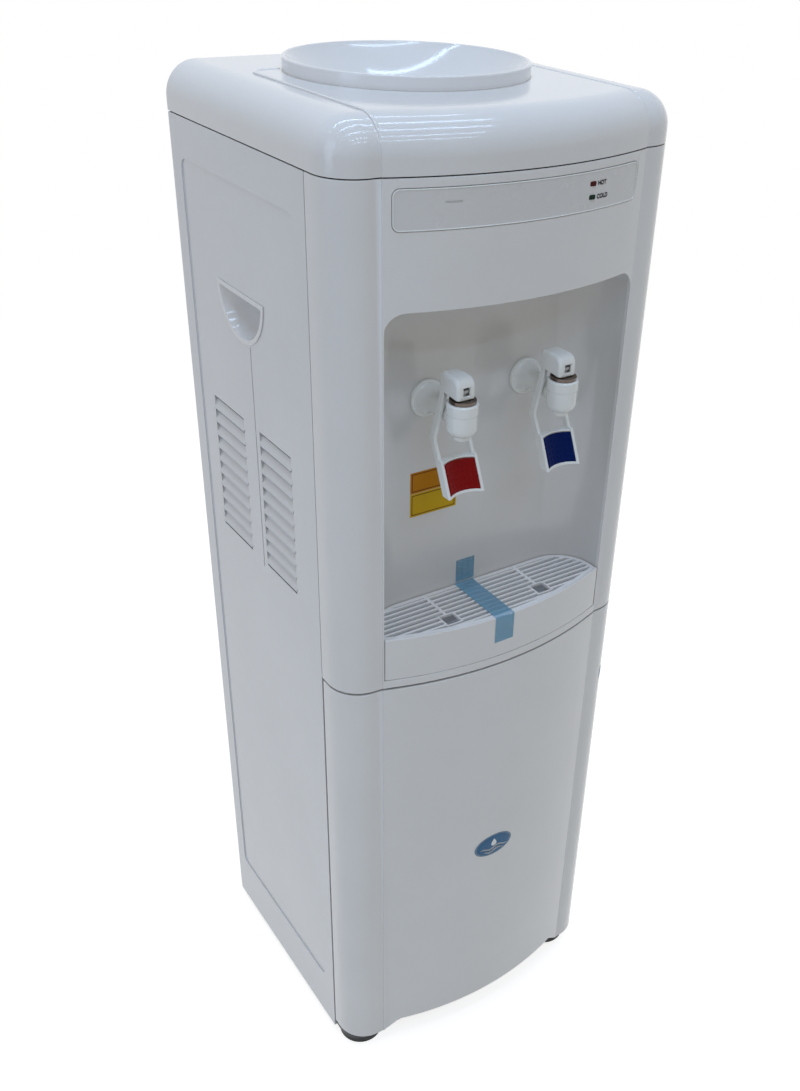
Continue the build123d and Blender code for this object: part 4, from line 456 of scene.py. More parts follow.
EMBLEM_BLUE = Film("emblem_blue", (0.03, 0.145, 0.31), gloss=0.24, mirror=0.25)
EMBLEM_SILVER = Film("emblem_silver", (0.16, 0.27, 0.38), gloss=0.2, mirror=0.4)


# ---------------------------------------------------------------- forms


class Form:
    """A bmesh in millimetres with the moves that pieces are made by."""

    def __init__(self) -> None:
        """Starts an empty form."""
        self.mesh: BMesh = bmesh.new()

    @classmethod
    def of_node(cls, node: str) -> "Form":
        """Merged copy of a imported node, with its flat facets joined again.

        Args:
            node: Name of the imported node.

        Returns:
            The form, with the faces turned as the node's are.
        """
        form = cls()
        form.mesh.from_mesh(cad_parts[node].data)
        bmesh.ops.scale(form.mesh, vec=Vector((1, 1, 1)) / MM, verts=form.mesh.verts[:])
        bmesh.ops.remove_doubles(form.mesh, verts=form.mesh.verts[:], dist=MEETING_REACH)
        bmesh.ops.dissolve_degenerate(form.mesh, dist=MEETING_REACH, edges=form.mesh.edges[:])
        bmesh.ops.dissolve_limit(
            form.mesh,
            angle_limit=math.radians(FLAT_TURN),
            use_dissolve_boundaries=False,
            verts=form.mesh.verts[:],
            edges=form.mesh.edges[:],
            delimit={"NORMAL"},
        )
        return form

    def hard_edges(
        self, degrees: float = HARD_TURN, wanted: Optional[Callable[[BMEdge], bool]] = None
    ) -> list[BMEdge]:
        """Edges that turn by more than an angle.

        Args:
            degrees: Least turn.
            wanted: Further test of an edge.

        Returns:
            The edges.
        """
        limit = math.radians(degrees)
        return [
            edge
            for edge in self.mesh.edges
            if len(edge.link_faces) == 2 and edge.calc_face_angle() > limit
            if wanted is None or wanted(edge)
        ]

    def round_edges(
        self, width: float, segments: int = 3, edges: Optional[list[BMEdge]] = None
    ) -> "Form":
        """Rounds hard edges.

        Args:
            width: Radius of the rounding.
            segments: Facets across it.
            edges: Edges to round, if not all hard ones.

        Returns:
            This form.
        """
        chosen = self.hard_edges() if edges is None else edges
        if chosen:
            bmesh.ops.bevel(
                self.mesh,
                geom=chosen,
                offset=width,
                offset_type="OFFSET",
                segments=segments,
                profile=0.5,
                affect="EDGES",
                clamp_overlap=False,
                material=-1,
            )
        return self

    def weld(self, reach: float = 0.01, cap_sides: int = 0) -> "Form":
        """Merges points that meet, caps open ends if asked, and turns the faces outwards.

        Args:
            reach: Distance within which points are one.
            cap_sides: Most sides of an open end that is capped.

        Returns:
            This form.
        """
        bmesh.ops.remove_doubles(self.mesh, verts=self.mesh.verts[:], dist=reach)
        if cap_sides:
            bmesh.ops.holes_fill(self.mesh, edges=self.mesh.edges[:], sides=cap_sides)
        bmesh.ops.recalc_face_normals(self.mesh, faces=self.mesh.faces[:])
        return self

    def spin(
        self, points: Sequence[Point], centre: Vector, axis: Vector, steps: int = 64
    ) -> "Form":
        """Turns a half section round an axis into a closed form.

        Args:
            points: Distance from the axis and height along it, round the section.
            centre: Point of the axis where the height is zero.
            axis: Unit direction of the axis.
            steps: Facets in a full turn.

        Returns:
            This form.
        """
        across = axis.orthogonal().normalized()
        ring = [self.mesh.verts.new(centre + across * r + axis * h) for r, h in points]
        edges = [self.mesh.edges.new((a, b)) for a, b in zip(ring, ring[1:] + ring[:1])]
        bmesh.ops.spin(
            self.mesh,
            geom=ring + edges,
            cent=centre,
            axis=axis,
            angle=math.tau,
            steps=steps,
            use_merge=True,
        )
        return self.weld(0.001)

    def drape(
        self,
        columns: int,
        rows: int,
        place: Callable[[float, float], Vector],
        thickness: float = 0.0,
    ) -> "Form":
        """Lays a grid over a surface, and gives it a thickness if one is wanted.

        Args:
            columns: Facets across.
            rows: Facets along.
            place: Point of the surface at two shares from 0 to 1.
            thickness: Thickness put behind the surface.

        Returns:
            This form.
        """
        grid = bmesh.ops.create_grid(self.mesh, x_segments=columns, y_segments=rows, size=0.5)
        made = grid["verts"]
        for vert in made:
            vert.co = place(vert.co.x + 0.5, vert.co.y + 0.5)
        faces = list({face for vert in made for face in vert.link_faces})
        if thickness:
            bmesh.ops.solidify(self.mesh, geom=faces, thickness=thickness)
        bmesh.ops.recalc_face_normals(self.mesh, faces=self.mesh.faces[:])
        return self

    def block(self, low: Sequence[float], high: Sequence[float]) -> list[BMVert]:
        """Adds a box between two corners and returns its vertices."""
        size = Vector(high) - Vector(low)
        place = Matrix.Translation((Vector(low) + Vector(high)) / 2) @ Matrix.Diagonal((*size, 1))
        return bmesh.ops.create_cube(self.mesh, size=1, matrix=place)["verts"]


def dress(
    form: Form,
    name: str,
    body: Body,
    finish: Finish,
    slot: Optional[str] = None,
    stands_for: Sequence[str] = (),
    smooth: float = 32.0,
) -> bpy.types.Object:
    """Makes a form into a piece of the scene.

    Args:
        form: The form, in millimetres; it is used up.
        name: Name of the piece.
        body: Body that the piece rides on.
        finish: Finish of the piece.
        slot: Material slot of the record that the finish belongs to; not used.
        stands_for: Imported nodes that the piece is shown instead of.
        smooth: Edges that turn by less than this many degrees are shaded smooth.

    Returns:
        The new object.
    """
    bmesh.ops.scale(form.mesh, vec=Vector((MM, MM, MM)), verts=form.mesh.verts[:])
    data = bpy.data.meshes.new(name)
    form.mesh.to_mesh(data)
    form.mesh.free()
    data.materials.append(finish.material())
    data.shade_smooth()
    data.set_sharp_from_angle(angle=math.radians(smooth))
    piece = bpy.data.objects.new(name, data)
    bpy.context.scene.collection.objects.link(piece)
    weighted = piece.modifiers.new("even_normals", "WEIGHTED_NORMAL")
    weighted.keep_sharp = True
    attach(piece, body.value)
    if stands_for:
        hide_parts(*stands_for)
    log.info("%s: %d faces on %s", name, len(data.polygons), body.value)
    return piece


def rounded_node(
    node: str, body: Body, finish: Finish, slot: str, width: float, segments: int = 3
) -> bpy.types.Object:
    """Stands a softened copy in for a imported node.

    Args:
        node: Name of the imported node.
        body: Body that it rides on.
        finish: Finish of the piece.
        slot: Material slot of the record.
        width: Radius put on its hard edges.
        segments: Facets across each rounding.

    Returns:
        The new piece.
    """
    form = Form.of_node(node).round_edges(width, segments)
    return dress(form, node + "_moulding", body, finish, slot, [node])


# ---------------------------------------------------------------- studio


def seen_rays(tree: bpy.types.NodeTree) -> Socket:
    """Lays nodes that tell rays of the eye, also by mirror or glass, from those that give light.

    Args:
        tree: Node tree of a material or the world.

    Returns:
        One for the first kind and zero for the second.
    """
    rays = tree.nodes.new("ShaderNodeLightPath").outputs
    seen = rays["Is Camera Ray"]
    for key in ("Is Glossy Ray", "Is Transmission Ray"):
        most = tree.nodes.new("ShaderNodeMath")
        most.operation = "MAXIMUM"
        tree.links.new(seen, most.inputs[0])
        tree.links.new(rays[key], most.inputs[1])
        seen = most.outputs[0]
    return seen


def mix_to_output(tree: bpy.types.NodeTree, output: bpy.types.Node, *sources: Socket) -> None:
    """Mixes two shaders by a share and links the result to the output.

    Args:
        tree: Node tree of a material or the world.
        output: Its output node.
        *sources: The share, the first shader and the second one.
    """
    mixed = tree.nodes.new("ShaderNodeMixShader")
    for source, target in zip(sources, mixed.inputs):
        tree.links.new(source, target)
    tree.links.new(mixed.outputs[0], output.inputs["Surface"])


@dataclass(frozen=True)
class Lamp:
    """Soft rectangular studio lamp."""

    name: str
    place: tuple[float, float, float]
    target: tuple[float, float, float]
    size: tuple[float, float]
    watts: float
    colour: Colour = (1.0, 1.0, 1.0)

    def hang(self) -> None:
        """Hangs the lamp and turns it to its target."""
        data = bpy.data.lights.new(self.name, "AREA")
        data.shape = "RECTANGLE"
        data.size, data.size_y = self.size
        data.energy = self.watts
        data.color = self.colour
        lamp = bpy.data.objects.new(self.name, data)
        lamp.location = self.place
        aim = Vector(self.target) - Vector(self.place)
        lamp.rotation_euler = aim.to_track_quat("-Z", "Y").to_euler()
        bpy.context.scene.collection.objects.link(lamp)


@dataclass
class Studio:
    """Camera, floor, backdrop and lamps."""

    eye: tuple[float, float, float] = (-0.520147, -0.810835, 1.091537)
    yaw: float = -0.619
    pitch: float = -0.562
    roll: float = 0.042
    focal_pixels: float = 1137.599
    centre_pixel: tuple[float, float] = (462.446, 585.069)
    sensor: float = 36.0
    floor_radius: float = 30.0
    floor_colour: Colour = (0.63, 0.625, 0.595)
    floor_shade: float = 0.98
    floor_gloss: float = 0.8
    floor_lift: float = 0.79
    fade_start: float = 0.7
    fade_end: float = 2.6
    sky_fill: Colour = (0.315, 0.282, 0.230)
    tube_colour: Colour = (0.52, 0.72, 1.0)
    tube_watts: float = 11.2
    tube_level: float = 3.2
    tube_rows: tuple[float, ...] = (-2.9, -2.0, -1.1, -0.2, 0.7)
    tube_size: tuple[float, float] = (2.4, 0.1)
    panel: Lamp = Lamp(
        "left_panel", (-2.6, -0.3, 1.4), (0, 0, 0.6), (1.0, 2.2), 13.0, (0.56, 0.73, 1.0)
    )

    def build(self) -> None:
        """Builds camera, floor, sky and lamps."""
        self.camera()
        self.floor()
        self.sky()
        for row, y in enumerate(self.tube_rows):
            name, place, target = f"ceiling_tube_{row}", (0.0, y, self.tube_level), (0, y, 0)
            Lamp(name, place, target, self.tube_size, self.tube_watts, self.tube_colour).hang()
        self.panel.hang()
        bpy.context.scene.view_settings.view_transform = "Standard"

    def camera(self) -> None:
        """Sets the camera where the photograph was taken."""
        yaw, pitch = self.yaw, self.pitch
        flat, level = math.cos(pitch), Vector((math.cos(yaw), math.sin(yaw), 0))
        ahead = Vector((-math.sin(yaw) * flat, math.cos(yaw) * flat, math.sin(pitch)))
        upright = level.cross(ahead)
        right = level * math.cos(self.roll) + upright * math.sin(self.roll)
        up = upright * math.cos(self.roll) - level * math.sin(self.roll)
        data = bpy.data.cameras.new("photo_camera")
        long_side = max(PHOTO_SIZE)
        data.sensor_width = self.sensor
        data.lens = self.focal_pixels * self.sensor / long_side
        data.shift_x = (PHOTO_SIZE[0] / 2 - self.centre_pixel[0]) / long_side
        data.shift_y = (self.centre_pixel[1] - PHOTO_SIZE[1] / 2) / long_side
        data.clip_start, data.clip_end = 0.01, 100
        camera = bpy.data.objects.new("photo_camera", data)
        turn = Matrix((right, up, -ahead)).transposed().to_4x4()
        camera.matrix_world = Matrix.Translation(self.eye) @ turn
        bpy.context.scene.collection.objects.link(camera)
        bpy.context.scene.camera = camera

    def floor(self) -> None:
        """Lays a pale floor that keeps the object's shadow."""
        form = Form()
        bmesh.ops.create_circle(form.mesh, cap_ends=True, radius=self.floor_radius, segments=96)
        data = bpy.data.meshes.new("floor")
        form.mesh.to_mesh(data)
        form.mesh.free()
        floor = bpy.data.objects.new("floor", data)
        bpy.context.scene.collection.objects.link(floor)
        bench = NodeBench("floor_paint")
        shade = tuple(c * self.floor_shade for c in self.floor_colour)
        cloud = bench.span(bench.noise(3, 4), 0, 1)
        bench.put(base_color=bench.blend(cloud, shade, self.floor_colour))
        bench.put(roughness=self.floor_gloss)
        bench.put(emission_color=(1.0, 1.0, 1.0))
        seen = seen_rays(bench.tree)
        bench.put(emission_strength=bench.times(seen, self.floor_lift))
        reach = bench.node("VectorMath", operation="LENGTH")
        bench.link(bench.place, reach.inputs[0])
        far = bench.node("MapRange", interpolation_type="SMOOTHSTEP")
        far.inputs["From Min"].default_value = self.fade_start
        far.inputs["From Max"].default_value = self.fade_end
        bench.link(reach.outputs["Value"], far.inputs["Value"])
        share = bench.times(far.outputs[0], seen)
        white = bench.node("Emission").outputs[0]
        mix_to_output(bench.tree, bench.output, share, bench.shader.outputs[0], white)
        data.materials.append(bench.material)

    def sky(self) -> None:
        """Gives a white backdrop to the eye and a plain warm fill to surfaces."""
        world = bpy.data.worlds.new("studio_sky")
        bpy.context.scene.world = world
        world.use_nodes = True
        tree = world.node_tree
        tree.nodes.clear()
        output = tree.nodes.new("ShaderNodeOutputWorld")
        shades = []
        for colour in (self.sky_fill, (1.0, 1.0, 1.0)):
            shade = tree.nodes.new("ShaderNodeBackground")
            shade.inputs["Color"].default_value = (*colour, 1.0)
            shades.append(shade.outputs[0])
        mix_to_output(tree, output, seen_rays(tree), *shades)


# ---------------------------------------------------------------- cabinet


@dataclass(frozen=True)
class Front:
    """Bowed front that marks, films and lettering lie on."""

    nose_y: float = -156.0
    radius: float = 338.99
    flat_y: float = -134.0
    ridge_x: float = 118.0
    ridge_reach: float = 1.2
    half_width: float = 155.0
    corner: float = 30.0
    alcove_back_y: float = -89.0

    def bow_y(self, x: float) -> float:
        """Y of the bowed front at x."""
        return self.nose_y + self.radius - math.sqrt(self.radius**2 - x**2)

    def outline(self, inset: float, rear: float) -> list[Point]:
        """Plan of the front and sides, moved in by inset, from left rear to right rear."""
        corner = self.half_width - self.corner
        turns = [math.radians(180 + 15 * step) for step in range(7)]
        reach = self.corner - inset
        left = [(inset - self.half_width, rear)]
        for turn in turns:
            y = self.flat_y + self.corner + reach * math.sin(turn)
            left.append((reach * math.cos(turn) - corner, y))
        left += [(inset - self.ridge_x, self.flat_y + inset)]
        bow = [(self.ridge_x - inset) * (step / 24 - 1) for step in range(25)]
        left += [(x, self.bow_y(x) + inset) for x in bow]
        return left + [(-x, y) for x, y in reversed(left[:-1])]

    def on_bow(self, x: float, z: float, proud: float = 0.0) -> Vector:
        """Point of the bowed front at x and z, moved out of it by proud."""
        lean = x / self.radius
        return Vector((x + proud * lean, self.bow_y(x) - proud * math.sqrt(1 - lean**2), z))


FRONT = Front()


def round_points(centre: Point, radius: float, start: float, end: float, steps: int) -> list[Point]:
    """Points of an arc in a half section, with the angles in degrees."""
    turns = [math.radians(start + (end - start) * step / steps) for step in range(steps + 1)]
    x, y = centre
    return [(x + radius * math.cos(turn), y + radius * math.sin(turn)) for turn in turns]


def middle(edge: BMEdge) -> Vector:
    """Middle of an edge."""
    return (edge.verts[0].co + edge.verts[1].co) / 2


def off_ridge(edge: BMEdge) -> bool:
    """Tells whether an edge lies clear of the upright steps beside the bowed front."""
    return min(abs(abs(vert.co.x) - FRONT.ridge_x) for vert in edge.verts) > FRONT.ridge_reach


@dataclass(frozen=True)
class SeamShadow:
    """Near-black strip set back in a joint that runs round the front, a painted shadow in the
    joint.
    """

    name: str
    low: float
    high: float
    rear: float
    inset: float = 2.6
    thickness: float = 0.8

    def build(self) -> None:
        """Lays the strip along the cabinet's plan."""
        path = FRONT.outline(self.inset, self.rear)

        def place(u: float, v: float) -> Vector:
            level = self.low + (self.high - self.low) * v
            return Vector((*path[round(u * (len(path) - 1))], level))

        form = Form().drape(len(path) - 1, 1, place, self.thickness)
        # painted shadow: the near-black strip stands in the joint where there is only shade
        dress(form, self.name, Body.CABINET, SEAM_SHADOW)


@dataclass
class Cabinet:
    """Outer mouldings of the cabinet, the sheet behind them and its screws."""

    edge: float = 0.8
    fine_edge: float = 0.3
    cup_edge: float = 0.5
    ridge_edge: float = 0.2
    louvre_low: tuple[float, float, float] = (-170.0, -52.0, 545.0)
    louvre_high: tuple[float, float, float] = (170.0, 106.0, 800.0)
    screw_levels: tuple[float, ...] = (40.0, 250.0, 470.0, 690.0, 880.0)
    screw_x: float = 145.0
    screw_radius: float = 3.6
    screw_head: tuple[Point, ...] = ((0, 0), (1, 0), (1, 0.7), (0.82, 1.5), (0.45, 2), (0, 2.1))
    cross_level: float = 1.9
    cross: tuple[float, float] = (0.12, -0.5)
    rear_y: float = 146.0
    cover_bottom: float = 914.5
    cover_round: float = 27.0
    crown_top: float = 953.6
    crown_rear: float = 70.0
    crown_corner: float = 13.4
    bead: tuple[float, float] = (1.6, 0.75)
    bead_end: float = 90.5
    bead_stop: float = 2.0
    bead_sides: int = 12
    corner_steps: int = 8
    front_steps: int = 12
    cover_gap: float = 0.9
    # near-black strips of painted shadow in the joints round the front
    seams: tuple[SeamShadow, ...] = (
        SeamShadow("door_seam_shadow", 486.3, 488.0, -96.0),
        SeamShadow("cover_seam_shadow", 914.4, 915.5, 143.0, inset=1.1, thickness=0.6),
    )

    def build(self) -> None:
        """Stands softened mouldings in for the cabinet's outer nodes, lays near-black strips of
        painted shadow in its joints and adds screws.
        """
        shell, cabinet = "white_shell", Body.CABINET
        self.moulding("front_panel", cabinet)
        self.top_cover()
        for seam in self.seams:
            seam.build()
        # painted shade: the alcove takes the darker copy of the white shell
        rounded_node("tap_alcove", cabinet, ALCOVE_SHADED_SHELL, shell, self.fine_edge, 2)
        for side in Side:
            self.side_panel(side)
            cup = f"{side.name.lower()}_handle_cup"
            rounded_node(cup, cabinet, WHITE_SHELL, shell, self.cup_edge)
        rounded_node("rear_panel", cabinet, REAR_SHEET, "rear_sheet", self.fine_edge, 2)
        rounded_node("base_plate", cabinet, BLACK_SHELL, "black_plastic", self.fine_edge)
        rounded_node("feet", cabinet, FOOT_RUBBER, "foot_rubber", self.edge)
        for row, level in enumerate(self.screw_levels):
            for side in Side:
                place = Vector((side.value * self.screw_x, self.rear_y, level))
                self.screw(f"rear_screw_{side.name.lower()}_{row}", place)

    def moulding(self, node: str, body: Body) -> None:
        """Rounds a front moulding's edges but for the small steps beside its bow.

        Args:
            node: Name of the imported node.
            body: Body that it rides on.
        """
        form = Form.of_node(node)
        form.round_edges(self.edge, 3, form.hard_edges(wanted=off_ridge))
        steps = form.hard_edges(50.0, lambda edge: not off_ridge(edge))
        form.round_edges(self.ridge_edge, 2, steps)
        dress(form, node + "_moulding", body, WHITE_SHELL, "white_shell", [node])

    def top_cover(self) -> None:
        """Lifts the cover's lower edge by the width of the joint and rounds that edge."""
        form = Form.of_node("top_cover")
        for vert in form.mesh.verts:
            if vert.co.z < self.cover_bottom + 0.1:
                vert.co.z += self.cover_gap
        level = self.cover_bottom + self.cover_gap + 0.1
        edges = form.hard_edges(40.0, lambda edge: max(vert.co.z for vert in edge.verts) < level)
        form.round_edges(self.fine_edge, 2, edges)
        node = "top_cover"
        dress(form, node + "_moulding", Body.CABINET, WHITE_SHELL, "white_shell", [node], 18)
        for side in Side:
            self.crown_bead(side)

    def crown_bead(self, side: Side) -> None:
        """Runs a bead along the edge of the cover's raised crown and round its rear corner.

        Args:
            side: Side of the cover.
        """
        half, rise = self.bead
        out_x, corner = Vector((side.value, 0, 0)), self.crown_corner
        x, top, reach = FRONT.ridge_x - half, self.crown_top, self.cover_round
        hub = Vector((side.value * (x - corner), self.crown_rear - half - corner, top))
        path = [(Vector((side.value * self.bead_end, hub.y + corner, top)), BACK, UP)]
        for step in range(self.corner_steps + 1):
            turn = math.radians(90 - 90 / self.corner_steps * step)
            across = out_x * math.cos(turn) + BACK * math.sin(turn)
            path.append((hub + across * corner, across, UP))
        centre = Vector((side.value * x, FRONT.flat_y + reach, top - reach))
        for step in range(self.front_steps + 1):
            turn = math.radians(90 + 90 / self.front_steps * step)
            out = BACK * math.cos(turn) + UP * math.sin(turn)
            path.append((centre + out * reach, out_x, out))
        foot = Vector((side.value * x, FRONT.flat_y, self.cover_bottom + self.bead_stop))
        path.append((foot, out_x, -BACK))

        def place(u: float, v: float) -> Vector:
            point, across, out = path[round(v * (len(path) - 1))]
            turn = math.tau * u
            return point + across * half * math.cos(turn) + out * rise * math.sin(turn)

        form = Form().drape(self.bead_sides, len(path) - 1, place).weld(cap_sides=self.bead_sides)
        dress(form, f"crown_bead_{side.name.lower()}", Body.CABINET, WHITE_SHELL, smooth=60)

    def side_panel(self, side: Side) -> None:
        """Softens a side panel's outer edges and leaves its louvres crisp.

        Args:
            side: Side of the panel.
        """
        node = f"{side.name.lower()}_side_panel"

        def off_louvres(edge: BMEdge) -> bool:
            spans = zip(self.louvre_low, middle(edge), self.louvre_high)
            return not all(low <= at <= high for low, at, high in spans)

        form = Form.of_node(node)
        form.round_edges(self.fine_edge, 2, form.hard_edges(wanted=off_louvres))
        # painted shade and cool light: the side panel takes the darker, bluer copy of the white
        # shell
        dress(form, node + "_moulding", Body.CABINET, SIDE_SHADED_SHELL, "white_shell", [node])

    def screw(self, name: str, place: Vector) -> None:
        """Spins a domed screw head and presses a cross into it.

        Args:
            name: Name of the piece.
            place: Middle of the head's seat on the rear sheet.
        """
        section = [(self.screw_radius * share, height) for share, height in self.screw_head]
        form = Form().spin(section, place, BACK, 24)
        level, (thickness, depth) = place.y + self.cross_level, self.cross
        cap = [face for face in form.mesh.faces if face.calc_center_median().y > level]
        bmesh.ops.inset_individual(form.mesh, faces=cap[::6], thickness=thickness, depth=depth)
        dress(form, name, Body.CABINET, SCREW_STEEL, smooth=50)


@dataclass
class Indicator:
    """Strip with its two lenses, lettering and dash."""

    edge: float = 0.3
    lens_x: float = 52.0
    lens_levels: dict[str, float] = field(default_factory=lambda: {"HOT": 898.4, "COLD": 888.7})
    lens_half: tuple[float, float] = (3.0, 1.75)
    lens_proud: float = 0.7
    lamp_root: float = 11.0
    plate_half: tuple[float, float] = (3.6, 3.2)
    plate_proud: float = 0.14
    text_x: float = 57.4
    text_height: float = 3.1
    text_proud: float = 0.3
    text_depth: float = 0.25
    stroke: float = 0.012
    dash: tuple[float, float, float, float] = (-75.5, -62.7, 897.6, 898.5)
    dash_proud: float = 0.18
    frame_low: tuple[float, float] = (-111.5, 879.0)
    frame_high: tuple[float, float] = (106.5, 907.5)
    frame_corner: float = 5.0
    frame_bead: float = 0.45
    frame_proud: float = 0.1

    def build(self) -> None:
        """Builds the strip and everything on it."""
        rounded_node("indicator_strip", Body.CABINET, STRIP_SHELL, "strip_plastic", self.edge, 2)
        for word, level in self.lens_levels.items():
            finish, slot = (RED_LENS, "red_lens") if word == "HOT" else (GREEN_LENS, "green_lens")
            self.lens(word.lower() + "_lamp", level, finish, slot)
            self.letters(word, level)
        x0, x1, z0, z1 = self.dash

        def place(u: float, v: float) -> Vector:
            return FRONT.on_bow(x0 + (x1 - x0) * u, z0 + (z1 - z0) * v, self.dash_proud)

        dress(Form().drape(16, 2, place, 0.3), "strip_dash", Body.CABINET, PALE_INK)
        self.outline()

    def outline(self) -> None:
        """Runs a fine raised lip round the strip, just inside its edge, in the paler tap white as a
        painted highlight.
        """
        bead, corner = self.frame_bead, self.frame_corner - self.frame_bead
        (x0, z0), (x1, z1) = self.frame_low, self.frame_high
        path: list[tuple[float, float, float]] = []
        for number, (x, z) in enumerate(((x1, z1), (x0, z1), (x0, z0), (x1, z0))):
            inward_x, inward_z = math.copysign(1, x), 1.0 if z == z1 else -1.0
            hub_x, hub_z = x - inward_x * self.frame_corner, z - inward_z * self.frame_corner
            for step in range(7):
                turn = math.radians(90 * number + 15 * step)
                across, rise = corner * math.cos(turn), corner * math.sin(turn)
                path.append((hub_x + across, hub_z + rise, turn))
            if number in (0, 2):
                run = (x0 if number == 0 else x1) + inward_x * self.frame_corner - hub_x
                level, lean = z - inward_z * bead, math.radians(90 * number + 90)
                path += [(hub_x + run * step / 24, level, lean) for step in range(1, 24)]
        path.append(path[0])

        def place(u: float, v: float) -> Vector:
            x, z, lean = path[round(v * (len(path) - 1))]
            across = bead * math.cos(math.tau * u)
            rise = self.frame_proud + bead * math.sin(math.tau * u)
            return FRONT.on_bow(x + across * math.cos(lean), z + across * math.sin(lean), rise)

        # painted highlight: the lip takes the paler tap white so that it reads as a light line
        # along the edge
        form = Form().drape(8, len(path) - 1, place).weld()
        dress(form, "strip_lip_highlight", Body.CABINET, TAP_SHELL, smooth=60)

    def lens(self, name: str, level: float, finish: Finish, slot: str) -> None:
        """Builds a rounded rectangular lens on a plate of the strip's plastic.

        Args:
            name: Start of the pieces' names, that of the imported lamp.
            level: Height of the lens's middle.
            finish: Finish of the lens.
            slot: Material slot of the lens.
        """
        face_y, x = FRONT.bow_y(self.lens_x), self.lens_x
        for part, half, proud, root, look in (
            ("_lens", self.lens_half, self.lens_proud, self.lamp_root, finish),
            ("_plate", self.plate_half, self.plate_proud, 0.5, STRIP_SHELL),
        ):
            form, (wide, high) = Form(), half
            low_end = (x - wide, face_y - proud, level - high)
            form.block(low_end, (x + wide, face_y + root, level + high))
            along = form.hard_edges(80, lambda e: abs(e.verts[0].co.y - e.verts[1].co.y) > 0.3)
            form.round_edges(min(1.0, high * 0.6), 4, along)
            rim = form.hard_edges(60, lambda edge: max(v.co.y for v in edge.verts) < face_y)
            form.round_edges(min(0.4, proud * 0.8), 3, rim)
            stands = [name] if part == "_lens" else []
            dress(form, name + part, Body.CABINET, look, slot if stands else None, stands)

    def letters(self, word: str, level: float) -> None:
        """Cuts a word out of the built-in typeface and lays it on the strip.

        Args:
            word: Functional lettering.
            level: Height of the middle of the letters.
        """
        curve = bpy.data.curves.new(word, "FONT")
        curve.body = word
        curve.size = 1.0
        curve.offset = self.stroke
        shape = bpy.data.objects.new(word, curve)
        flat = bpy.data.meshes.new_from_object(shape)
        form = Form()
        form.mesh.from_mesh(flat)
        bpy.data.objects.remove(shape)
        bpy.data.curves.remove(curve)
        bpy.data.meshes.remove(flat)
        top = max(vert.co.y for vert in form.mesh.verts)
        scale = self.text_height / top
        for vert in form.mesh.verts:
            across, rise = vert.co.x * scale, (vert.co.y - top / 2) * scale
            vert.co = FRONT.on_bow(self.text_x + across, level + rise, self.text_proud)
        bmesh.ops.solidify(form.mesh, geom=form.mesh.faces[:], thickness=self.text_depth)
        bmesh.ops.recalc_face_normals(form.mesh, faces=form.mesh.faces[:])
        dress(form, f"lettering_{word.lower()}", Body.CABINET, PRINT_INK)


@dataclass
class Collar:
    """Bottle collar: plain wall, rounded rim, concave dish and neck tube."""

    centre: tuple[float, float] = (0.0, 25.0)
    radius: float = 98.75
    top: float = 964.0
    seat: float = 953.0
    lip_round: float = 1.4
    dish_rim: tuple[float, float] = (93.5, 961.4)
    dish_floor: tuple[float, float] = (33.0, 927.0)
    dish_curve: float = 150.0
    steps: int = 144
    mark_radius: float = 0.9
    marks: tuple[Point, ...] = ((-26.0, 66.0), (-21.0, 69.5))
    mark_lean: tuple[float, float, float] = (0.2, -0.3, 0.9)
    neck: tuple[Point, ...] = (
        (29.9, 923.6), (29.0, 922.4), (29.0, 880.6), (29.6, 880.0), (31.0, 880.0), (31.5, 880.5),
        (31.5, 918.2), (33.0, 922.2),
    )
    skirt: tuple[Point, ...] = (
        (91.6, 955.6), (91.6, 946.3), (91.9, 946.0), (93.6, 946.0), (94.0, 946.4), (94.0, 953.0),
    )
    wall: float = 4.8

    def dish_height(self, radius: float) -> float:
        """Height of the dish's face at a distance from the axis."""
        (r0, h0), (r1, h1) = self.dish_floor, self.dish_rim
        chord = math.hypot(r1 - r0, h1 - h0)
        drop = math.sqrt(self.dish_curve**2 - (chord / 2) ** 2)
        centre_r = (r0 + r1) / 2 - drop * (h1 - h0) / chord
        centre_h = (h0 + h1) / 2 + drop * (r1 - r0) / chord
        return centre_h - math.sqrt(self.dish_curve**2 - (radius - centre_r) ** 2)

    def build(self) -> None:
        """Spins the collar and puts the two small marks on its dish."""
        lip, outer = self.lip_round, self.radius
        rim, floor = self.dish_rim[0], self.dish_floor[0]
        dish = [rim + (floor - rim) * step / 24 for step in range(25)]
        section = [(outer, self.seat + 0.3)]
        section += round_points((outer - lip, self.top - lip), lip, 0, 90, 6)
        section += round_points((outer - lip - 0.9, self.top - lip), lip, 90, 150, 4)
        section += [(r, self.dish_height(r)) for r in dish]
        section += self.neck
        section += [(r, self.dish_height(r) - self.wall) for r in reversed(dish[1:-1])]
        section += [*self.skirt, (outer - 0.4, self.seat)]
        form = Form().spin(section, Vector((*self.centre, 0)), UP, self.steps)
        node = "bottle_collar"
        dress(form, node + "_moulding", Body.COLLAR, WHITE_SHELL, "white_shell", [node], 40)
        reach, lean = self.mark_radius, Vector(self.mark_lean).normalized()
        for number, (x, y) in enumerate(self.marks):
            height = self.dish_height(math.hypot(x - self.centre[0], y - self.centre[1]))
            section = [(0.0, -0.4), (reach, -0.4), (reach, 0.15), (0.4, 0.3), (0.0, 0.3)]
            form = Form().spin(section, Vector((x, y, height)), lean, 20)
            dress(form, f"dish_mark_{number}", Body.COLLAR, BLACK_SHELL)


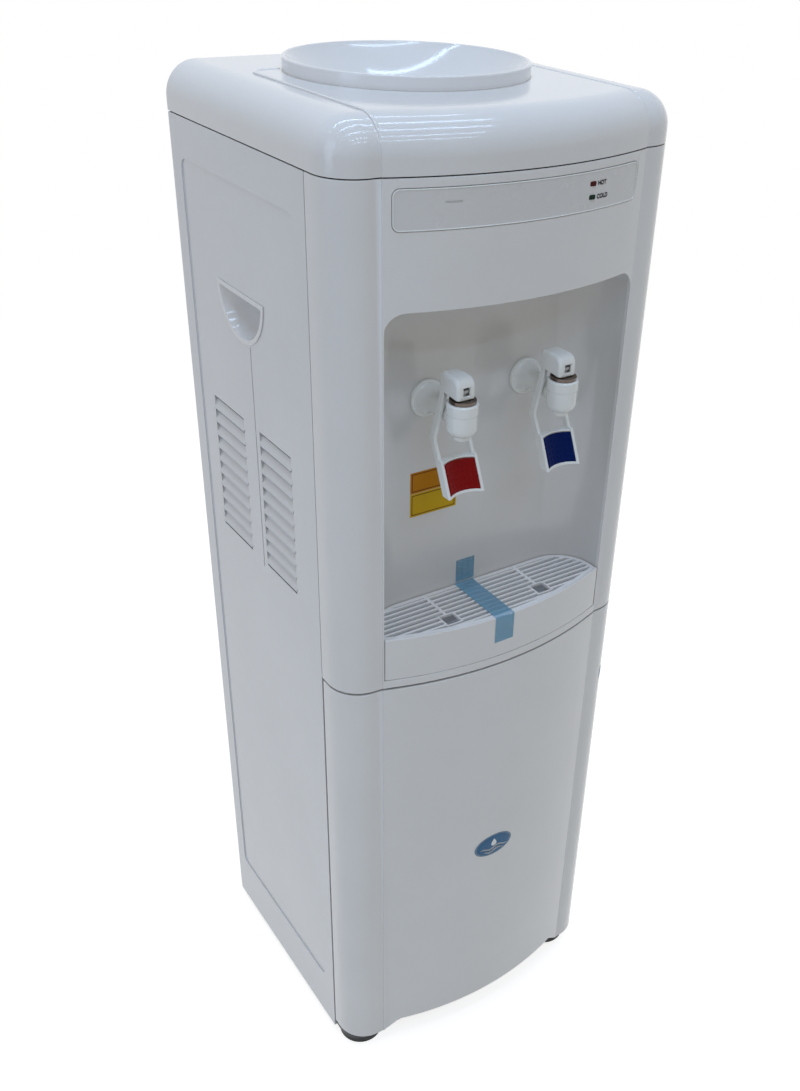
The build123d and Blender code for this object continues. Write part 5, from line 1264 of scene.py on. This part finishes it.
@dataclass
class Door:
    """Bowed door and the emblem stuck on it."""

    emblem_centre: tuple[float, float] = (-2.0, 259.0)
    emblem_half: tuple[float, float] = (22.5, 13.5)
    waves: tuple[Point, ...] = ((-0.22, 0.74), (-0.52, 0.56))
    wave_swing: float = 0.11
    wave_turns: float = 7.5
    wave_width: float = 0.085
    wave_proud: float = 1.03
    dome_fall: float = 0.30
    drop_half: float = 0.20
    drop_rise: float = 0.36
    drop_level: float = 0.30
    drop_proud: tuple[float, float] = (0.97, 0.16)

    def build(self) -> None:
        """Stands a softened shell in for the door's and sticks the emblem on it."""
        Cabinet().moulding("door_shell", Body.DOOR)
        self.emblem()

    def on_door(self, across: float, up: float, proud: float) -> Vector:
        """Point of the door at shares of the emblem's half size from its middle."""
        x = self.emblem_centre[0] + across * self.emblem_half[0]
        return FRONT.on_bow(x, self.emblem_centre[1] + up * self.emblem_half[1], proud)

    def emblem(self) -> None:
        """Builds an oval badge with a plain water drop over two waves."""

        def disc(u: float, v: float, share: float, base: float, dome: float) -> Vector:
            turn, rise = math.tau * u, base + dome * math.sqrt(max(0.0, 1 - v**2))
            return self.on_door(share * v * math.cos(turn), share * v * math.sin(turn), rise)

        for name, share, base, dome, finish in (
            ("emblem_rim", 1.0, 0.15, 0.55, EMBLEM_SILVER),
            ("emblem_field", 0.9, 0.50, 0.42, EMBLEM_BLUE),
        ):
            form = Form().drape(48, 8, lambda u, v: disc(u, v, share, base, dome)).weld()
            dress(form, name, Body.DOOR, finish)

        def wave(u: float, v: float, level: float, half: float) -> Vector:
            across = -half + 2 * half * u
            centre = level + self.wave_swing * math.sin(across * self.wave_turns)
            width = self.wave_width * math.sin(math.pi * min(max(u, 0.0), 1.0)) ** 0.5
            proud = self.wave_proud - self.dome_fall * across**2
            return self.on_door(across, centre + width * (2 * v - 1), proud)

        for number, (level, half) in enumerate(self.waves):
            form = Form().drape(40, 2, lambda u, v: wave(u, v, level, half), 0.12)
            dress(form, f"emblem_wave_{number}", Body.DOOR, PALE_INK)

        def drop(u: float, v: float) -> Vector:
            turn, (proud, dome) = math.tau * u, self.drop_proud
            across = self.drop_half * math.sin(turn) * math.sin(turn / 2) ** 1.4
            up = self.drop_level + self.drop_rise * math.cos(turn) * v
            return self.on_door(across * v, up, proud + dome * (1 - v**2))

        dress(Form().drape(32, 5, drop).weld(), "emblem_drop", Body.DOOR, PALE_INK)


@dataclass
class Tray:
    """Drip tray and the grille on it."""

    edge: float = 1.0
    bar_edge: float = 0.4

    def build(self) -> None:
        """Stands softened forms in for the tray and the grille."""
        rounded_node("drip_tray", Body.TRAY, WHITE_SHELL, "white_shell", self.edge)
        rounded_node("drip_grille", Body.GRILLE, GRILLE_SHELL, "white_grille", self.bar_edge)


@dataclass
class Films:
    """Transit tape and the blank notice label."""

    proud: float = 0.12
    film: float = 0.08
    tape_half: float = 10.0
    tape_x: float = -4.0
    tape_lean: float = -2.0
    tape_start: float = 562.0
    tape_end: float = 512.0
    grille_top: float = 537.5
    rule_inset: float = 1.5
    rule_width: float = 0.7
    label_left: float = -64.0
    label_right: float = -17.0
    label_bottom: float = 620.0
    label_top: float = 662.0
    label_split: float = 642.0
    label_step: float = 3.0
    label_gap: float = 0.3
    door_tape_levels: tuple[float, float] = (394.0, 410.0)
    door_tape_turns: tuple[float, float] = (-14.0, -58.0)
    door_tape_curl: float = 1.1
    door_tape_tear: float = 0.8
    ripple: float = 0.05

    def build(self) -> None:
        """Lays the tape on three bodies and the label on the alcove's wall."""
        proud, grille = self.proud, self.grille_top
        back, nose = FRONT.alcove_back_y, FRONT.bow_y(self.tape_x)
        wall = [(back - proud, self.tape_start), (back - proud, 545.0), (back - proud - 0.4, 539.2)]
        over = [(back - 0.9, 538.4), (back - 3.0, grille + 0.2), (back - 30.0, grille + proud)]
        over += [(nose + 4.2, grille + proud)]
        down = [(nose + 2.6, 538.5 + proud), (nose + 0.4, 538.4), (nose - proud, 537.4)]
        down += [(nose - proud, self.tape_end)]
        for name, path, body, lean in (
            ("tape_on_wall", wall, Body.CABINET, 0.0),
            ("tape_on_grille", over, Body.GRILLE, 0.6),
            ("tape_on_fascia", down, Body.TRAY, 1.0),
        ):
            self.tape(name, path, body, lean)
        self.door_tape()
        self.label()

    def door_tape(self) -> None:
        """Lays a torn end of tape round the door's right corner."""
        centre = Vector((FRONT.half_width - FRONT.corner, FRONT.flat_y + FRONT.corner))
        low, high = self.door_tape_levels

        def place(u: float, v: float) -> Vector:
            start, end = self.door_tape_turns
            turn = math.radians(start + (end - start) * u)
            curl = self.door_tape_curl * max(0.0, u - 0.6) * math.sin(math.pi * v)
            reach = FRONT.corner - 0.05 + curl
            level = low + (high - low) * v + self.door_tape_tear * math.sin(9 * u + 5 * v)
            out = Vector((math.cos(turn), math.sin(turn)))
            return Vector((*(centre + out * reach), level))

        dress(Form().drape(12, 8, place, self.film), "tape_on_door", Body.DOOR, TAPE)

    def tape(self, name: str, path: list[Point], body: Body, lean: float) -> None:
        """Lays a length of tape along a path seen from the side.

        Args:
            name: Name of the piece.
            path: Y and Z along the tape.
            body: Body that it is stuck to.
            lean: Share of the sideways drift that it has.
        """
        spans = len(path) - 1

        def place(u: float, v: float) -> Vector:
            step = int(min(v * spans, spans - 1e-6))
            y, z = Vector(path[step]).lerp(Vector(path[step + 1]), v * spans - step)
            ripple = self.ripple * math.sin(37 * v + 9 * u)
            x = self.tape_x + self.tape_lean * lean + self.tape_half * (2 * u - 1)
            return Vector((x, y - abs(ripple), z + abs(ripple)))

        form = Form().drape(6, spans * 6, place, self.film)
        dress(form, name, body, TAPE)

    def label(self) -> None:
        """Lays the two-tone notice label, left blank, with its ruled frames."""
        back, width = FRONT.alcove_back_y, self.rule_width
        left, right, split = self.label_left, self.label_right, self.label_split
        upper = (left, right - self.label_step, split + self.label_gap, self.label_top)
        for name, (x0, x1, z0, z1), finish in (
            ("label_upper", upper, LABEL_AMBER),
            ("label_lower", (left, right, self.label_bottom, split), LABEL_YELLOW),
        ):
            form = Form()
            form.block((x0, back - self.proud, z0), (x1, back + 0.05, z1))
            form.round_edges(0.04, 1)
            dress(form, name, Body.CABINET, finish)
            form, inset = Form(), self.rule_inset
            a, b, c, d = x0 + inset, x1 - inset, z0 + inset, z1 - inset
            for low, high in (
                ((a, c), (b, c + width)),
                ((a, d - width), (b, d)),
                ((a, c + width), (a + width, d - width)),
                ((b - width, c + width), (b, d - width)),
            ):
                face = back - self.proud
                form.block((low[0], face - 0.06, low[1]), (high[0], face + 0.02, high[1]))
            dress(form, name + "_frame", Body.CABINET, LABEL_RULE)


@dataclass
class Tap:
    """One lever tap: valve body, steel ring, lever and dimpled pad."""

    name: str
    axis_x: float
    lever: Body
    pad_finish: Finish
    edge: float = 0.4
    lever_edge: float = 0.45
    arm_root: tuple[float, float] = (744.5, 752.5)
    root_edge: float = 3.6
    flange_radius: float = 16.0
    axis_level: float = 727.7
    paddle_centre: tuple[float, float] = (-139.0, 678.3)
    paddle_angle: float = 25.0
    pad_half: float = 14.5
    pad_levels: tuple[float, float] = (-9.8, 13.2)
    pad_curve: float = 28.0
    pad_back: float = 30.0
    dimple_pitch: float = 4.3
    dimple_rise: float = 0.8
    dimple_floor: float = 0.9
    rim_width: float = 1.2
    rim_drop: float = 0.5
    pad_thickness: float = 1.4

    def build(self) -> None:
        """Builds the tap's pieces."""
        cabinet, name = Body.CABINET, self.name
        rounded_node(name + "_tap_body", cabinet, TAP_SHELL, "tap_white", self.edge)
        # painted reflection: the steel ring's dark brown colour stands in for its reflections
        rounded_node(name + "_tap_ring", cabinet, DARKENED_RING_STEEL, "ring_steel", self.edge)
        rim = self.flange_radius
        section = round_points((rim - 1.3, 2.0), 1.2, 0, 360, 12)[:-1]
        centre = Vector((self.axis_x, FRONT.alcove_back_y, self.axis_level))
        form = Form().spin(section, centre, -BACK)
        dress(form, name + "_flange_rim", cabinet, TAP_SHELL, "tap_white")
        self.arms()
        self.pad()

    def arms(self) -> None:
        """Softens the lever, but for the short edges where its arms run into the cap."""
        node = self.name + "_tap_lever"
        form = Form.of_node(node)
        low, high = self.arm_root

        def clear_of_root(edge: BMEdge) -> bool:
            return not low < middle(edge).z < high or edge.calc_length() > self.root_edge

        form.round_edges(self.lever_edge, 3, form.hard_edges(wanted=clear_of_root))
        dress(form, node + "_moulding", self.lever, TAP_SHELL, "tap_white", [node])

    def pad(self) -> None:
        """Lays the concave pad with its rows of dimples."""
        tilt = math.radians(self.paddle_angle)
        out = Vector((0, -math.cos(tilt), math.sin(tilt)))
        along = Vector((0, math.sin(tilt), math.cos(tilt)))
        origin = Vector((self.axis_x, *self.paddle_centre))

        def face(u: float, v: float) -> Vector:
            x, (low, high) = self.pad_half * (2 * u - 1), self.pad_levels
            level = low + (high - low) * v
            rise = self.pad_back - math.sqrt(self.pad_curve**2 - x**2)
            run = (level - rise * math.sin(tilt)) / math.cos(tilt)
            wave_x = math.cos(math.tau * x / self.dimple_pitch)
            wave_run = math.cos(math.tau * level / self.dimple_pitch)
            clear = min(self.pad_half - abs(x), level - low, high - level)
            inset = min(1.0, clear / self.rim_width)
            peak = max(0.0, wave_x + wave_run - self.dimple_floor)
            bump = self.dimple_rise * peak if inset >= 1 else 0.0
            edge = -self.rim_drop * (1 - max(0.0, inset)) ** 2
            return origin + Vector((x, 0, 0)) + along * run + out * (rise + bump + edge)

        form = Form().drape(72, 66, face, self.pad_thickness)
        node, finish = self.name + "_tap_pad", self.pad_finish
        dress(form, f"{self.name}_pad_face", self.lever, finish, finish.name, [node], 60)


class Inside:
    """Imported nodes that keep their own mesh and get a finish."""

    FINISHES: dict[Finish, str] = {
        LINER_SHELL: "cabinet_liner door_liner",
        SEAL_RUBBER: "door_gasket neck_seal",
        STAINLESS: "cold_tank hot_tank heater_band",
        FOAM: "cold_tank_insulation",
        JACKET_FOAM: "hot_tank_jacket",
        ALUMINIUM: "cold_conductor heat_sink",
        CERAMIC: "peltier_module",
        TUBE: "feed_tube cold_tube hot_tube drain_tube hot_tap_plunger cold_tap_plunger",
        BLACK_SHELL: "fan_frame fan_rotor hot_thermostat switch_plate "
        "cord_gland drain_valve drain_cap",
        ZINC: "deck_plate power_supply",
        RED_ROCKER: "hot_switch",
        GREEN_ROCKER: "cold_switch",
        BOARD: "indicator_board",
        PIN_STEEL: "upper_hinge_pin lower_hinge_pin",
        TAP_SHELL: "hot_tap_nut cold_tap_nut",
    }

    def build(self) -> None:
        """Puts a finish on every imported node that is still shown."""
        finishes = {name: look for look, names in self.FINISHES.items() for name in names.split()}
        for name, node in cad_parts.items():
            if node.hide_render:
                continue
            finish = finishes[name]
            node.data.materials.clear()
            node.data.materials.append(finish.material())
            log.info("%s keeps its packed mesh, finish %s", name, finish.name)


def main() -> None:
    """Builds the studio and every sub-assembly, in order."""
    logging.basicConfig(level=logging.INFO, format="%(name)s: %(message)s")
    Studio().build()
    hot = Tap("hot", -49.5, Body.HOT_LEVER, RED_PAD)
    cold = Tap("cold", 49.5, Body.COLD_LEVER, BLUE_PAD)
    outside = (Cabinet(), Indicator(), Collar(), Door(), Tray(), Films(), hot, cold)
    for assembly in (*outside, Inside()):
        log.info("building %s", type(assembly).__name__)
        assembly.build()


if __name__ == "__main__":
    main()
